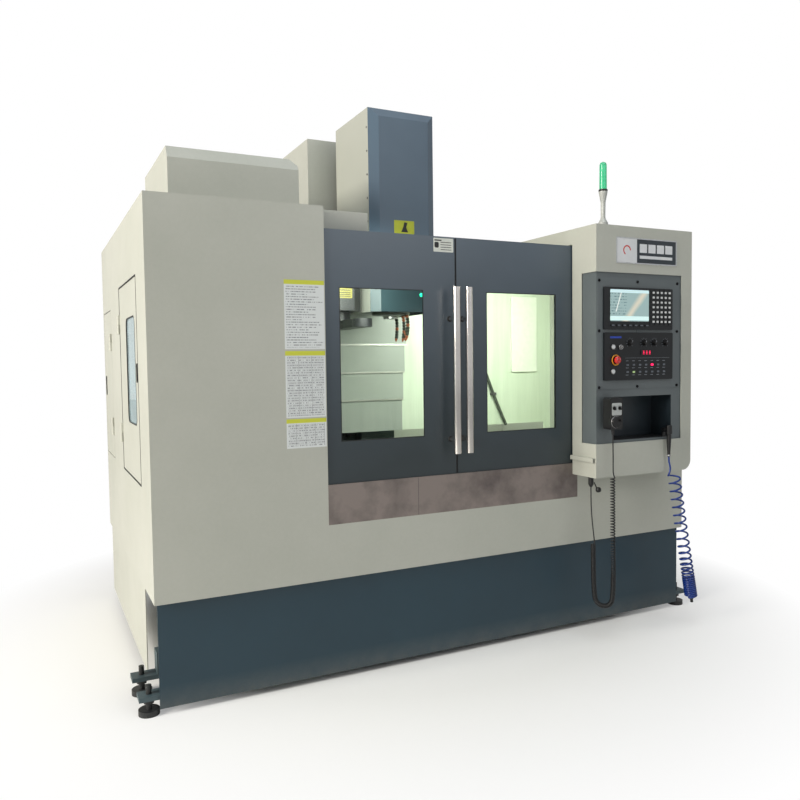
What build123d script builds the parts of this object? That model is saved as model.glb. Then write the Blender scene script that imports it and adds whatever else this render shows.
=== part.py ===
import os
from math import radians, tan

from build123d import *

# Vertical machining centre, millimetres. X to the right, Y into the machine, Z up.
# The origin lies on the floor under the middle of the machine.

# Overall sizes
enclosure_width = 3060
overall_depth = 2600
cabinet_height = 2230
right_cabinet_height = 2218
side_depth = 1900
sheet = 4
axis_x = -33

# Operator console, set in front of the right cabinet
console_proud = 192
handset_proud = 95

# Planes that everything is set out from
left = -enclosure_width / 2
right = enclosure_width / 2
front = -overall_depth / 2 + console_proud + handset_proud
back = overall_depth / 2

# Front bands, heights above the floor
skirt_bottom = 30
band_bottom = 491
sill_bottom = 750
door_bottom = 939
door_top = 2130
left_cabinet_width = 793
right_cabinet_width = 795

running_gap = 0.3
bearing_gap = 0.05


def span(low, high):
    """Middle and length of a stretch between two values."""
    return (low + high) / 2, high - low


def block(x, y, z, mode=Mode.ADD):
    """Rectangular block between two corners, given as (low, high) pairs."""
    (cx, lx), (cy, ly), (cz, lz) = span(*x), span(*y), span(*z)
    with Locations((cx, cy, cz)):
        Box(lx, ly, lz, mode=mode)


def finish(name, part):
    """Label a piece and write it to its own file."""
    part.label = name
    export_step(part, f"parts/{name}.step")
    boxes.append((name, part.bounding_box(), part.volume))


boxes = []
os.makedirs("parts", exist_ok=True)


# Machine bed: cast iron, with a wide foot flange, two guideways and arms that carry the enclosure
foot_height = 70
bed_top = 560
bed_half_width = 520
bed_flange_half_width = 640
bed_front = front + 120
bed_back = front + 2040
way_x = 300
way_width = 90
rail_width = 45
rail_height = 40
rail_top = bed_top + rail_height
trench_half_width = 90
trench_floor = 440
lug_reach = 70
lug_x = right + lug_reach
arm_width = 80
arm_centres = (front + 72, front + 300)
arm_top = 190
lug_plate = 20
foot_inset = 45
rear_foot_y = (front + 1150, front + 1950)
rear_foot_x = 570
y_drive_z = 510
screw_radius = 20
y_bracket_y = front + 330

with BuildPart() as bed:
    with BuildSketch(Plane.XZ.offset(-bed_front)):
        with BuildLine():
            Polyline(
                (axis_x - bed_flange_half_width, foot_height),
                (axis_x - bed_flange_half_width, foot_height + 70),
                (axis_x - bed_half_width, foot_height + 110),
                (axis_x - bed_half_width, bed_top - 60),
                (axis_x - way_x - way_width, bed_top),
                (axis_x - trench_half_width, bed_top),
                (axis_x - trench_half_width, trench_floor),
                (axis_x + trench_half_width, trench_floor),
                (axis_x + trench_half_width, bed_top),
                (axis_x + way_x + way_width, bed_top),
                (axis_x + bed_half_width, bed_top - 60),
                (axis_x + bed_half_width, foot_height + 110),
                (axis_x + bed_flange_half_width, foot_height + 70),
                (axis_x + bed_flange_half_width, foot_height),
                close=True,
            )
        make_face()
    extrude(amount=-(bed_back - bed_front))
    for side in (-1, 1):
        rail_mid = axis_x + side * way_x
        block(
            (rail_mid - rail_width / 2, rail_mid + rail_width / 2),
            (bed_front + 60, front + 1400),
            (bed_top, rail_top),
        )
    block(
        (axis_x - bed_flange_half_width, axis_x + bed_flange_half_width),
        (arm_centres[0] - arm_width / 2, bed_front),
        (foot_height, foot_height + 70),
    )
    for arm_y in arm_centres:
        for side in (-1, 1):
            inner = axis_x + side * (bed_flange_half_width - 10)
            outer = side * (lug_x - 110)
            block(
                (min(inner, outer), max(inner, outer)),
                (arm_y - arm_width / 2, arm_y + arm_width / 2),
                (foot_height + lug_plate, arm_top),
            )
            lug_inner = side * (lug_x - 150)
            block(
                (min(lug_inner, side * lug_x), max(lug_inner, side * lug_x)),
                (arm_y - arm_width / 2, arm_y + arm_width / 2),
                (foot_height, foot_height + lug_plate),
            )
    with Locations(*[(side * (lug_x - foot_inset), y, foot_height) for side in (-1, 1) for y in arm_centres]):
        Cylinder(13, 2 * lug_plate + 10, align=(Align.CENTER, Align.CENTER, Align.MIN), mode=Mode.SUBTRACT)
    block(
        (axis_x - trench_half_width, axis_x + trench_half_width),
        (y_bracket_y - 20, y_bracket_y + 20),
        (trench_floor, y_drive_z + 45),
    )
    with Locations(Location((axis_x, y_bracket_y, y_drive_z), (90, 0, 0))):
        Cylinder(screw_radius + bearing_gap, 60, mode=Mode.SUBTRACT)
finish("machine_bed", bed.part)

# Levelling feet: a round pad, a locking nut and the screw that stands in the lug
with BuildPart() as feet:
    with Locations(
        *[(side * (lug_x - foot_inset), y) for side in (-1, 1) for y in arm_centres],
        *[(axis_x + side * rear_foot_x, y) for side in (-1, 1) for y in rear_foot_y],
    ):
        Cylinder(45, 24, align=(Align.CENTER, Align.CENTER, Align.MIN))
        with Locations((0, 0, 24)):
            Cylinder(12, foot_height - 24, align=(Align.CENTER, Align.CENTER, Align.MIN))
        with Locations((0, 0, foot_height - 20)):
            Cylinder(22, 20, align=(Align.CENTER, Align.CENTER, Align.MIN))
    with Locations(*[(side * (lug_x - foot_inset), y, foot_height) for side in (-1, 1) for y in arm_centres]):
        Cylinder(12, 60, align=(Align.CENTER, Align.CENTER, Align.MIN))
finish("levelling_feet", feet.part)

# Column: cast iron on the back of the bed, tapering upwards behind, with the Z rails on its face
column_half_width = 330
column_face = front + 1420
column_back = front + 2020
column_top_back = front + 1860
column_top = 2500
z_rail_x = 150
z_rail_depth = 35
z_rail_face = column_face - z_rail_depth
z_drive_y = column_face + 20
channel_half_width = 80
channel_depth = 90

with BuildPart() as column:
    with BuildSketch(Plane.YZ.offset(axis_x - column_half_width)):
        with BuildLine():
            Polyline(
                (column_face, bed_top),
                (column_back, bed_top),
                (column_back, bed_top + 740),
                (column_top_back, column_top),
                (column_face, column_top),
                close=True,
            )
        make_face()
    extrude(amount=2 * column_half_width)
    block(
        (axis_x - channel_half_width, axis_x + channel_half_width),
        (column_face, column_face + channel_depth),
        (bed_top + 200, column_top - 40),
        mode=Mode.SUBTRACT,
    )
    for side in (-1, 1):
        rail_mid = axis_x + side * z_rail_x
        block(
            (rail_mid - rail_width / 2, rail_mid + rail_width / 2),
            (z_rail_face, column_face),
            (1150, column_top - 30),
        )
    with Locations((axis_x, z_drive_y + 25, column_top - 60)):
        Cylinder(screw_radius + bearing_gap, 100, align=(Align.CENTER, Align.CENTER, Align.MIN), mode=Mode.SUBTRACT)
finish("column", column.part)

# Y and Z drives: a servo motor with its ball screw
z_screw_y = z_drive_y + 25
y_motor_length = 170
y_screw_start = front + 150 + y_motor_length
y_screw_end = front + 1390

with BuildPart() as drives:
    block(
        (axis_x - 65, axis_x + 65),
        (front + 150, y_screw_start - 20),
        (trench_floor, y_drive_z + 65),
    )
    with BuildSketch(Plane.XZ.offset(-(y_screw_start - 20))):
        with Locations((axis_x, y_drive_z)):
            Circle(screw_radius)
    extrude(amount=-(y_screw_end - y_screw_start + 20))
    block(
        (axis_x - 65, axis_x + 65),
        (z_screw_y - 65, z_screw_y + 65),
        (column_top, column_top + 230),
    )
    with BuildSketch(Plane.XY.offset(column_top)):
        with Locations((axis_x, z_screw_y)):
            Circle(screw_radius)
    extrude(amount=-(column_top - 1000))
finish("axis_drives", drives.part)

# Saddle: slides on the Y rails and carries the X rails and the X drive
spindle_y = front + 765
saddle_half_length = 850
saddle_half_depth = 320
saddle_bottom = 625
saddle_top = 860
x_rail_top = 892
x_rail_y = 220
x_motor_length = 150
x_drive_z = 830
carriage_height = saddle_bottom - bed_top - 8

with BuildPart() as saddle:
    with BuildSketch(Plane.YZ.offset(axis_x - saddle_half_length)):
        with BuildLine():
            Polyline(
                (spindle_y - saddle_half_depth + 60, saddle_bottom),
                (spindle_y + saddle_half_depth - 60, saddle_bottom),
                (spindle_y + saddle_half_depth, saddle_bottom + 80),
                (spindle_y + saddle_half_depth, saddle_top - 30),
                (spindle_y + x_rail_y + 50, saddle_top),
                (spindle_y + x_rail_y - 50, saddle_top),
                (spindle_y + 70, saddle_top),
                (spindle_y + 70, x_drive_z - 50),
                (spindle_y - 70, x_drive_z - 50),
                (spindle_y - 70, saddle_top),
                (spindle_y - x_rail_y - 50, saddle_top),
                (spindle_y - saddle_half_depth, saddle_top - 30),
                (spindle_y - saddle_half_depth, saddle_bottom + 80),
                close=True,
            )
        make_face()
    extrude(amount=2 * saddle_half_length)
    for side in (-1, 1):
        rail_mid = spindle_y + side * x_rail_y
        block(
            (axis_x - saddle_half_length + 10, axis_x + saddle_half_length - 10),
            (rail_mid - rail_width / 2, rail_mid + rail_width / 2),
            (saddle_top, x_rail_top),
        )
    for side in (-1, 1):
        for end in (-1, 1):
            carriage_x = axis_x + side * way_x
            carriage_y = spindle_y + end * 210
            block(
                (carriage_x - 60, carriage_x + 60),
                (carriage_y - 70, carriage_y + 70),
                (bed_top + 8, saddle_bottom),
            )
    for side in (-1, 1):
        rail_mid = axis_x + side * way_x
        block(
            (rail_mid - rail_width / 2 - running_gap, rail_mid + rail_width / 2 + running_gap),
            (spindle_y - 300, spindle_y + 300),
            (bed_top, rail_top + running_gap),
            mode=Mode.SUBTRACT,
        )
    block(
        (axis_x - 60, axis_x + 60),
        (spindle_y - 60, spindle_y + 60),
        (y_drive_z - 45, saddle_bottom),
    )
    with Locations(Location((axis_x, spindle_y, y_drive_z), (90, 0, 0))):
        Cylinder(screw_radius + running_gap, 130, mode=Mode.SUBTRACT)
    with BuildSketch(Plane.YZ.offset(axis_x - saddle_half_length)):
        with Locations((spindle_y, x_drive_z)):
            Circle(screw_radius)
    extrude(amount=2 * saddle_half_length)
    for end in (-1, 1):
        bracket = axis_x + end * (saddle_half_length - 20)
        block((bracket - 20, bracket + 20), (spindle_y - 70, spindle_y + 70), (x_drive_z - 50, saddle_top))
    block(
        (axis_x + saddle_half_length, axis_x + saddle_half_length + x_motor_length),
        (spindle_y - 65, spindle_y + 65),
        (x_drive_z - 65, x_drive_z + 35),
    )
finish("saddle", saddle.part)

# Table: cast plate with five T-slots and the carriages and nut below it
table_half_length = 650
table_half_depth = 300
table_bottom = 905
table_top = 1010
slot_pitch = 100
slot_width = 18
slot_depth = 32
slot_head_width = 30
slot_head_height = 12

with BuildPart() as table:
    with BuildSketch(Plane.YZ.offset(axis_x - table_half_length)):
        with Locations((spindle_y, (table_bottom + table_top) / 2)):
            Rectangle(2 * table_half_depth, table_top - table_bottom)
        with Locations(*[(spindle_y + n * slot_pitch, table_top - slot_depth / 2) for n in range(-2, 3)]):
            Rectangle(slot_width, slot_depth, mode=Mode.SUBTRACT)
        with Locations(
            *[(spindle_y + n * slot_pitch, table_top - slot_depth + slot_head_height / 2) for n in range(-2, 3)]
        ):
            Rectangle(slot_head_width, slot_head_height, mode=Mode.SUBTRACT)
    extrude(amount=2 * table_half_length)
    for side in (-1, 1):
        for end in (-1, 1):
            carriage_x = axis_x + end * 210
            carriage_y = spindle_y + side * x_rail_y
            block(
                (carriage_x - 75, carriage_x + 75),
                (carriage_y - 50, carriage_y + 50),
                (saddle_top + 6, table_bottom),
            )
        rail_mid = spindle_y + side * x_rail_y
        block(
            (axis_x - 300, axis_x + 300),
            (rail_mid - rail_width / 2 - running_gap, rail_mid + rail_width / 2 + running_gap),
            (saddle_top, x_rail_top + running_gap),
            mode=Mode.SUBTRACT,
        )
    block((axis_x - 55, axis_x + 55), (spindle_y - 50, spindle_y + 50), (x_drive_z - 40, table_bottom))
    with Locations(Location((axis_x, spindle_y, x_drive_z), (0, 90, 0))):
        Cylinder(screw_radius + running_gap, 120, mode=Mode.SUBTRACT)
finish("table", table.part)

# Headstock: cast arm on the Z rails with the spindle bore, and the spindle motor on top
nose_z = 1765
head_bottom = 1830
head_top = column_top - 150
head_front = front + 640
neck_bottom = 2055
neck_front = front + 1225
head_back = z_rail_face - 5
head_half_width = 165
quill_radius = 85
spindle_radius = 60
motor_top = 2790
nut_z = neck_bottom + 165

# Steel plates that screen the Z rails, one behind the other
plate = 3
plate_pitch = 9
plate_step = 183
plate_lap = 64
plate_half_width = 340
plate_narrowing = 8
upper_plate_bottom = 1620
top_plate_y = front + 1240

with BuildPart() as headstock:
    with BuildSketch(Plane.YZ.offset(axis_x - head_half_width)):
        with BuildLine():
            Polyline(
                (head_front, head_bottom),
                (neck_front, head_bottom),
                (neck_front, neck_bottom),
                (head_back, neck_bottom),
                (head_back, head_top + 90),
                (neck_front - 60, head_top + 90),
                (neck_front - 160, head_top),
                (head_front, head_top),
                close=True,
            )
        make_face()
    extrude(amount=2 * head_half_width)
    for side in (-1, 1):
        for carriage_z in (neck_bottom + 80, head_top + 10):
            rail_mid = axis_x + side * z_rail_x
            block(
                (rail_mid - 48, rail_mid + 48),
                (head_back - 20, column_face - 8),
                (carriage_z - 70, carriage_z + 70),
            )
        block(
            (rail_mid - rail_width / 2 - running_gap, rail_mid + rail_width / 2 + running_gap),
            (z_rail_face - running_gap, column_face),
            (neck_bottom, head_top + 90),
            mode=Mode.SUBTRACT,
        )
    block((axis_x - 55, axis_x + 55), (head_back - 5, z_screw_y + 35), (nut_z - 40, nut_z + 40))
    with Locations((axis_x, z_screw_y, nut_z)):
        Cylinder(screw_radius + running_gap, 100, mode=Mode.SUBTRACT)
    with BuildSketch(Plane.XY.offset(nose_z + 20)):
        with Locations((axis_x, spindle_y)):
            Circle(quill_radius)
    extrude(amount=head_bottom - nose_z - 20)
    with BuildSketch(Plane.XY.offset(head_top)):
        with Locations((axis_x, spindle_y)):
            Circle(120)
    extrude(amount=60)
    with BuildSketch(Plane.XY.offset(head_top + 60)):
        with Locations((axis_x, spindle_y)):
            RectangleRounded(240, 240, 50)
    extrude(amount=motor_top - head_top - 60)
    with Locations((axis_x, spindle_y, nose_z)):
        Cylinder(
            spindle_radius + bearing_gap,
            head_top + 20 - nose_z,
            align=(Align.CENTER, Align.CENTER, Align.MIN),
            mode=Mode.SUBTRACT,
        )
    block(
        (axis_x - plate_half_width, axis_x + plate_half_width),
        (top_plate_y, top_plate_y + plate),
        (upper_plate_bottom, neck_bottom + 20),
    )
    block(
        (axis_x - plate_half_width, axis_x + plate_half_width),
        (top_plate_y + plate, top_plate_y + plate_pitch - running_gap),
        (upper_plate_bottom, upper_plate_bottom + plate),
    )
finish("headstock", headstock.part)

# Spindle: turned shaft with a flanged nose and the taper that takes the tool
taper_mouth = 22.5
taper_depth = 66
taper_end = 13

with BuildPart() as spindle:
    with BuildSketch(Plane.XZ.offset(-spindle_y)):
        with BuildLine():
            Polyline(
                (axis_x + taper_mouth, nose_z),
                (axis_x + 44, nose_z),
                (axis_x + 44, nose_z + 12),
                (axis_x + spindle_radius, nose_z + 20),
                (axis_x + spindle_radius, head_top + 10),
                (axis_x, head_top + 10),
                (axis_x, nose_z + taper_depth),
                (axis_x + taper_end, nose_z + taper_depth),
                close=True,
            )
        make_face()
    revolve(axis=Axis((axis_x, spindle_y, 0), (0, 0, 1)))
finish("spindle", spindle.part)

# Coolant ring under the head with segmented hoses that point at the tool
ring_outer = 112
ring_bottom = nose_z + 22
hose_segments = 6
segment_length = 21

with BuildPart() as nozzles:
    with BuildSketch(Plane.XY.offset(ring_bottom)):
        with Locations((axis_x, spindle_y)):
            Circle(ring_outer)
            Circle(quill_radius + running_gap, mode=Mode.SUBTRACT)
    extrude(amount=head_bottom - ring_bottom)
    for bearing, lean in ((-44, -14), (-16, -4), (16, -10), (44, -18)):
        hose_root = Location((axis_x, spindle_y, ring_bottom), (0, 0, bearing))
        hose_plane = Plane(hose_root * Location((98, 0, 0), (0, 180 + lean, 0)))
        for n in range(hose_segments):
            top_radius = 11 if n < hose_segments - 1 else 9
            end_radius = 7 if n < hose_segments - 1 else 4
            with BuildSketch(hose_plane.offset(n * segment_length - 2)):
                Circle(top_radius)
            with BuildSketch(hose_plane.offset((n + 1) * segment_length)):
                Circle(end_radius)
            loft()
finish("coolant_nozzles", nozzles.part)

# Head cover: tall sheet hood with chamfered front corners and a sloped top edge
cover_half_width = 205
cover_front_half_width = 155
cover_front = front + 565
cover_side_front = front + 600
cover_back = front + 1080
cover_bottom = 1795
cover_top = 2925
cover_slope_bottom = 2874

with BuildPart() as head_cover:
    with BuildSketch(Plane.XY.offset(cover_bottom)):
        with BuildLine():
            Polyline(
                (axis_x - cover_front_half_width, cover_front),
                (axis_x + cover_front_half_width, cover_front),
                (axis_x + cover_half_width, cover_side_front),
                (axis_x + cover_half_width, cover_back),
                (axis_x - cover_half_width, cover_back),
                (axis_x - cover_half_width, cover_side_front),
                close=True,
            )
        make_face()
    extrude(amount=cover_top - cover_bottom)
    with BuildSketch(Plane.YZ.offset(axis_x - cover_half_width)):
        with BuildLine():
            Polyline(
                (cover_front - 1, cover_slope_bottom),
                (cover_side_front, cover_top + 1),
                (cover_front - 1, cover_top + 1),
                close=True,
            )
        make_face()
    extrude(amount=2 * cover_half_width, mode=Mode.SUBTRACT)
    offset(
        amount=-sheet,
        openings=[
            head_cover.faces().sort_by(Axis.Z)[0],
            head_cover.faces().sort_by(Axis.Y)[-1],
        ],
        kind=Kind.INTERSECTION,
    )
    for side in (-1, 1):
        flange = (axis_x + side * head_half_width, axis_x + side * (cover_half_width - sheet))
        block((min(flange), max(flange)), (front + 900, front + 940), (head_bottom + 100, head_top - 60))
finish("head_cover", head_cover.part)

# Telescopic plates behind the spindle: two slide between the plate on the head and the fixed one
plate_names = ("z_cover_upper", "z_cover_lower")
plate_bottoms = [upper_plate_bottom - (n + 1) * plate_step for n in range(2)]

for n, plate_name in enumerate(plate_names):
    plate_y = top_plate_y + (n + 1) * plate_pitch
    half = plate_half_width - (n + 1) * plate_narrowing
    with BuildPart() as way_plate:
        block(
            (axis_x - half, axis_x + half),
            (plate_y, plate_y + plate),
            (plate_bottoms[n], plate_bottoms[n] + plate_step + plate_lap),
        )
        block(
            (axis_x - half, axis_x + half),
            (plate_y + plate, plate_y + plate_pitch - running_gap),
            (plate_bottoms[n], plate_bottoms[n] + plate),
        )
    finish(plate_name, way_plate.part)

# Splash guard: sloped chip pans either side of the bed, front trough wall and the rear splash walls
guard_front = front + 60
wall_y = top_plate_y + 3 * plate_pitch
wall_bottom = 1050
wall_top = 2130
slot_half = 205
fixed_plate_top = 1400
pan_back = front + 1400
pan_low = 500
pan_high = 880
guard_side_top = 945
pan_knee = 800
window_low = 1880
window_high = 2190
window_outer = 585
window_inner = 350

with BuildPart() as guard:
    for side in (-1, 1):
        wall_x = side * (right - sheet)
        with BuildSketch(Plane.XZ.offset(-guard_front)):
            with BuildLine():
                Polyline(
                    (wall_x - side * sheet, guard_side_top),
                    (wall_x - side * sheet, pan_high),
                    (axis_x + side * pan_knee, pan_low + 5),
                    (axis_x + side * (bed_half_width + 1), pan_low),
                    (axis_x + side * (bed_half_width + 1), pan_low - sheet),
                    (axis_x + side * pan_knee, pan_low + 5 - sheet),
                    (wall_x, pan_high - sheet),
                    (wall_x, guard_side_top),
                    close=True,
                )
            make_face()
        extrude(amount=-(pan_back - guard_front))
        x_pair = (axis_x + side * slot_half, wall_x)
        block((min(x_pair), max(x_pair)), (wall_y, wall_y + sheet), (wall_bottom, wall_top))
        corner_pair = (wall_x, wall_x - side * 60)
        block((min(corner_pair), max(corner_pair)), (wall_y, wall_y + sheet), (pan_high - 20, wall_bottom))
    block((left + sheet, right - sheet), (guard_front, guard_front + sheet), (pan_low - sheet, door_bottom - 10))
    block(
        (axis_x - slot_half, axis_x + slot_half),
        (wall_y, wall_y + sheet),
        (wall_bottom, fixed_plate_top),
    )
    block(
        (axis_x - window_outer, axis_x - window_inner),
        (wall_y - 10, wall_y + 20),
        (window_low, window_high),
        mode=Mode.SUBTRACT,
    )
    block(
        (axis_x - bed_half_width - 1, axis_x + bed_half_width + 1),
        (guard_front, bed_front - 1),
        (pan_low - sheet, pan_low),
    )
finish("splash_guard", guard.part)

# Left cabinet: front sheet, side wall with two door openings, roof sheet and back sheet
left_cabinet_x = left + left_cabinet_width
left_roof_x = left + 1050
roof_flange_y = front + 80
roof_flange_height = 104
access_door_y = (front + 297, front + 974)
access_door_z = (962, 1915)
rear_door_y = (front + 1440, front + 1860)
rear_door_z = (962, 1835)
door_gap = 5
side_back = front + side_depth
magazine_x = (left + 171, left + 815)
magazine_y = (front + 400, front + 1124)
back_gap = 12
hinge_radius = 7
hinge_length = 50
hinge_inset = 140
hinge_leaf = 16


def hinge_heights(z):
    """Lower ends of the two hinges of a door between two heights."""
    return z[0] + hinge_inset, z[1] - hinge_inset - 2 * hinge_length


def knuckle(x, y, z, way):
    """Half of a side hinge: its barrel and a leaf on the sheet beside it."""
    with Locations((x, y, z)):
        Cylinder(hinge_radius, hinge_length, align=(Align.CENTER, Align.CENTER, Align.MIN))
    leaf = (y, y + way * hinge_leaf)
    block((x, x + hinge_radius), (min(leaf), max(leaf)), (z, z + hinge_length))


with BuildPart() as left_cabinet:
    block((left, left_cabinet_x), (front, front + sheet), (sill_bottom, cabinet_height))
    block((left_cabinet_x - sheet, left_cabinet_x), (front, front + sheet + 1), (sill_bottom, cabinet_height))
    block((left, left + sheet), (front, side_back), (sill_bottom, cabinet_height))
    block((left, left_cabinet_x), (front, side_back), (cabinet_height - sheet, cabinet_height))
    block((left_cabinet_x, left_roof_x), (roof_flange_y, side_back), (cabinet_height - sheet, cabinet_height))
    block(
        (left_cabinet_x, left_roof_x),
        (roof_flange_y, roof_flange_y + sheet),
        (cabinet_height - roof_flange_height, cabinet_height),
    )
    block(
        (left, axis_x - column_half_width - back_gap),
        (side_back - sheet, side_back),
        (sill_bottom, cabinet_height),
    )
    block(
        (magazine_x[0] - running_gap, magazine_x[1] + running_gap),
        (magazine_y[0] - running_gap, magazine_y[1] + running_gap),
        (cabinet_height - 2 * sheet, cabinet_height + sheet),
        mode=Mode.SUBTRACT,
    )
    block((left - 1, left + 2 * sheet), access_door_y, access_door_z, mode=Mode.SUBTRACT)
    block((left - 1, left + 2 * sheet), rear_door_y, rear_door_z, mode=Mode.SUBTRACT)
    for hinge_y, wall_way, door_z in (
        (access_door_y[1], 1, access_door_z),
        (rear_door_y[0], -1, rear_door_z),
    ):
        for hinge_z in hinge_heights(door_z):
            knuckle(left - hinge_radius, hinge_y, hinge_z, wall_way)
finish("left_cabinet", left_cabinet.part)

# Right cabinet: front sheet, side wall, roof with its folded inner edge and back sheet
right_sheet_x = right - right_cabinet_width
right_roof_x = left + 2231
right_flange_bottom = right_cabinet_height - 82

with BuildPart() as right_cabinet:
    block((right_sheet_x, right), (front, front + sheet), (sill_bottom, right_cabinet_height))
    block((right - sheet, right), (front, side_back), (sill_bottom, right_cabinet_height))
    block(
        (right_roof_x, right),
        (front, side_back),
        (right_cabinet_height - sheet, right_cabinet_height),
    )
    block(
        (right_roof_x, right_roof_x + sheet),
        (front, side_back),
        (right_flange_bottom, right_cabinet_height),
    )
    block((right_roof_x, right_sheet_x), (front, front + sheet), (right_flange_bottom, right_cabinet_height))
    block(
        (axis_x + column_half_width + back_gap, right),
        (side_back - sheet, side_back),
        (sill_bottom, right_cabinet_height),
    )
finish("right_cabinet", right_cabinet.part)

# Cream band round the front and both sides, with the lower side panels
skirt_setback = 25
side_panel_front = front + 380
side_panel_bottom = 60
side_panel_inset = 12

with BuildPart() as band:
    block((left, right), (front, front + sheet), (band_bottom, sill_bottom))
    block((left, right), (front, front + skirt_setback + sheet), (band_bottom, band_bottom + sheet))
    for side in (-1, 1):
        side_pair = (side * right, side * (right - sheet))
        block((min(side_pair), max(side_pair)), (front, side_back), (band_bottom, sill_bottom))
        panel_pair = (side * (right - side_panel_inset), side * (right - side_panel_inset - sheet))
        block((min(panel_pair), max(panel_pair)), (side_panel_front, side_back), (side_panel_bottom, band_bottom + 30))
        lip_pair = (side * right, side * (right - side_panel_inset - sheet))
        block((min(lip_pair), max(lip_pair)), (side_panel_front, side_back), (band_bottom, band_bottom + sheet))
finish("front_band", band.part)

# Dark base skirt with folded ends
skirt_end_inset = 14
with BuildPart() as skirt:
    skirt_front = front + skirt_setback
    block(
        (left + skirt_end_inset, right - skirt_end_inset),
        (skirt_front, skirt_front + sheet),
        (skirt_bottom, band_bottom),
    )
finish("front_skirt", skirt.part)

# Stainless sill under the doors, with the track on which they run
with BuildPart() as sill:
    block((left_cabinet_x, right_sheet_x), (front, front + sheet), (sill_bottom, door_bottom))
    block((left + 20, right - 20), (front + sheet + 1, guard_front), (door_bottom - sheet, door_bottom))
    block((left_cabinet_x, right_sheet_x), (front, front + sheet + 2), (door_bottom - sheet, door_bottom))
finish("stainless_sill", sill.part)

# Sliding doors: folded pans with a window, a pane behind it and a tube handle on two posts
seam_x = left + 1497
seam_gap = 3
door_face = front + 8
door_thickness = 36
door_skin = 3
door_return = 45
door_overlap = 20
window_z = (1138, 1863)
left_window_x = (left + 866, left + 1312)
right_window_x = (left + 1679, left + 2125)
pane_overlap = 14
pane_thickness = 6
handle_radius = 19
handle_y = front - 60
handle_offset = 36
handle_z = (1050, 1877)
post_z = (1118, 1723)
post_radius = 10

door_spans = {
    "left": (left_cabinet_x - door_overlap, seam_x - seam_gap / 2, left_window_x, seam_x - handle_offset),
    "right": (seam_x + seam_gap / 2, right_sheet_x + door_overlap, right_window_x, seam_x + handle_offset),
}
for name, (door_low, door_high, window_x, handle_x) in door_spans.items():
    with BuildPart() as sliding_door:
        door_z = (door_bottom + running_gap, door_top)
        block((door_low, door_high), (door_face, door_face + door_thickness), door_z)
        block(
            (door_low + door_return, window_x[0] - door_return),
            (door_face + door_skin, door_face + door_thickness),
            (door_z[0] + door_return, door_z[1] - door_return),
            mode=Mode.SUBTRACT,
        )
        block(
            (window_x[1] + door_return, door_high - door_return),
            (door_face + door_skin, door_face + door_thickness),
            (door_z[0] + door_return, door_z[1] - door_return),
            mode=Mode.SUBTRACT,
        )
        block(
            (window_x[0] - pane_overlap, window_x[1] + pane_overlap),
            (door_face + door_skin, door_face + door_thickness),
            (window_z[0] - pane_overlap, window_z[1] + pane_overlap),
            mode=Mode.SUBTRACT,
        )
        block(window_x, (door_face, door_face + door_skin), window_z, mode=Mode.SUBTRACT)
    finish(f"{name}_door", sliding_door.part)

    with BuildPart() as pane:
        block(
            (window_x[0] - pane_overlap, window_x[1] + pane_overlap),
            (door_face + door_skin, door_face + door_skin + pane_thickness),
            (window_z[0] - pane_overlap, window_z[1] + pane_overlap),
        )
    finish(f"{name}_door_glass", pane.part)

    with BuildPart() as handle:
        with BuildSketch(Plane.XY.offset(handle_z[0])):
            with Locations((handle_x, handle_y)):
                Circle(handle_radius)
        extrude(amount=handle_z[1] - handle_z[0])
        for height in post_z:
            with BuildSketch(Plane.XZ.offset(-handle_y)):
                with Locations((handle_x, height)):
                    Circle(post_radius)
            extrude(amount=-(door_face - handle_y))
    finish(f"{name}_door_handle", handle.part)

# Side access doors: inset panels on two hinges with a recessed grip, the front one with a window
access_thickness = 30
access_skin = 4
access_window_y = (front + 375, front + 700)
access_window_z = (1230, 1740)
grip_depth = 14
access_grip = ((front + 312, front + 344), (1435, 1515))
rear_grip = ((front + 1790, front + 1836), (1330, 1440))
side_doors = (
    ("side_door_front", access_door_y, access_door_z, access_grip, access_door_y[1]),
    ("side_door_rear", rear_door_y, rear_door_z, rear_grip, rear_door_y[0]),
)
for name, door_y, door_z, grip, hinge_y in side_doors:
    with BuildPart() as access_door:
        block(
            (left, left + access_thickness),
            (door_y[0] + door_gap, door_y[1] - door_gap),
            (door_z[0] + door_gap, door_z[1] - door_gap),
        )
        block(
            (left + access_skin, left + access_thickness),
            (door_y[0] + 55, door_y[1] - 55),
            (door_z[0] + 60, door_z[1] - 60),
            mode=Mode.SUBTRACT,
        )
        if name == "side_door_front":
            block(
                (left + access_skin, left + access_thickness),
                (access_window_y[0] - 30, access_window_y[1] + 30),
                (access_window_z[0] - 30, access_window_z[1] + 30),
            )
            with BuildSketch(Plane.YZ.offset(left - 1)):
                with Locations(((access_window_y[0] + access_window_y[1]) / 2, sum(access_window_z) / 2)):
                    RectangleRounded(
                        access_window_y[1] - access_window_y[0], access_window_z[1] - access_window_z[0], 40
                    )
            extrude(amount=access_thickness + 2, mode=Mode.SUBTRACT)
        block((left - 1, left + grip_depth), grip[0], grip[1], mode=Mode.SUBTRACT)
        door_way = 1 if hinge_y == door_y[0] else -1
        for hinge_z in hinge_heights(door_z):
            knuckle(left - hinge_radius, hinge_y, hinge_z + hinge_length + running_gap, door_way)
    finish(name, access_door.part)

with BuildPart() as access_glass:
    with BuildSketch(Plane.YZ.offset(left + access_skin)):
        with Locations(((access_window_y[0] + access_window_y[1]) / 2, sum(access_window_z) / 2)):
            RectangleRounded(access_window_y[1] - access_window_y[0], access_window_z[1] - access_window_z[0], 40)
    extrude(amount=pane_thickness)
finish("side_door_glass", access_glass.part)

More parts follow.
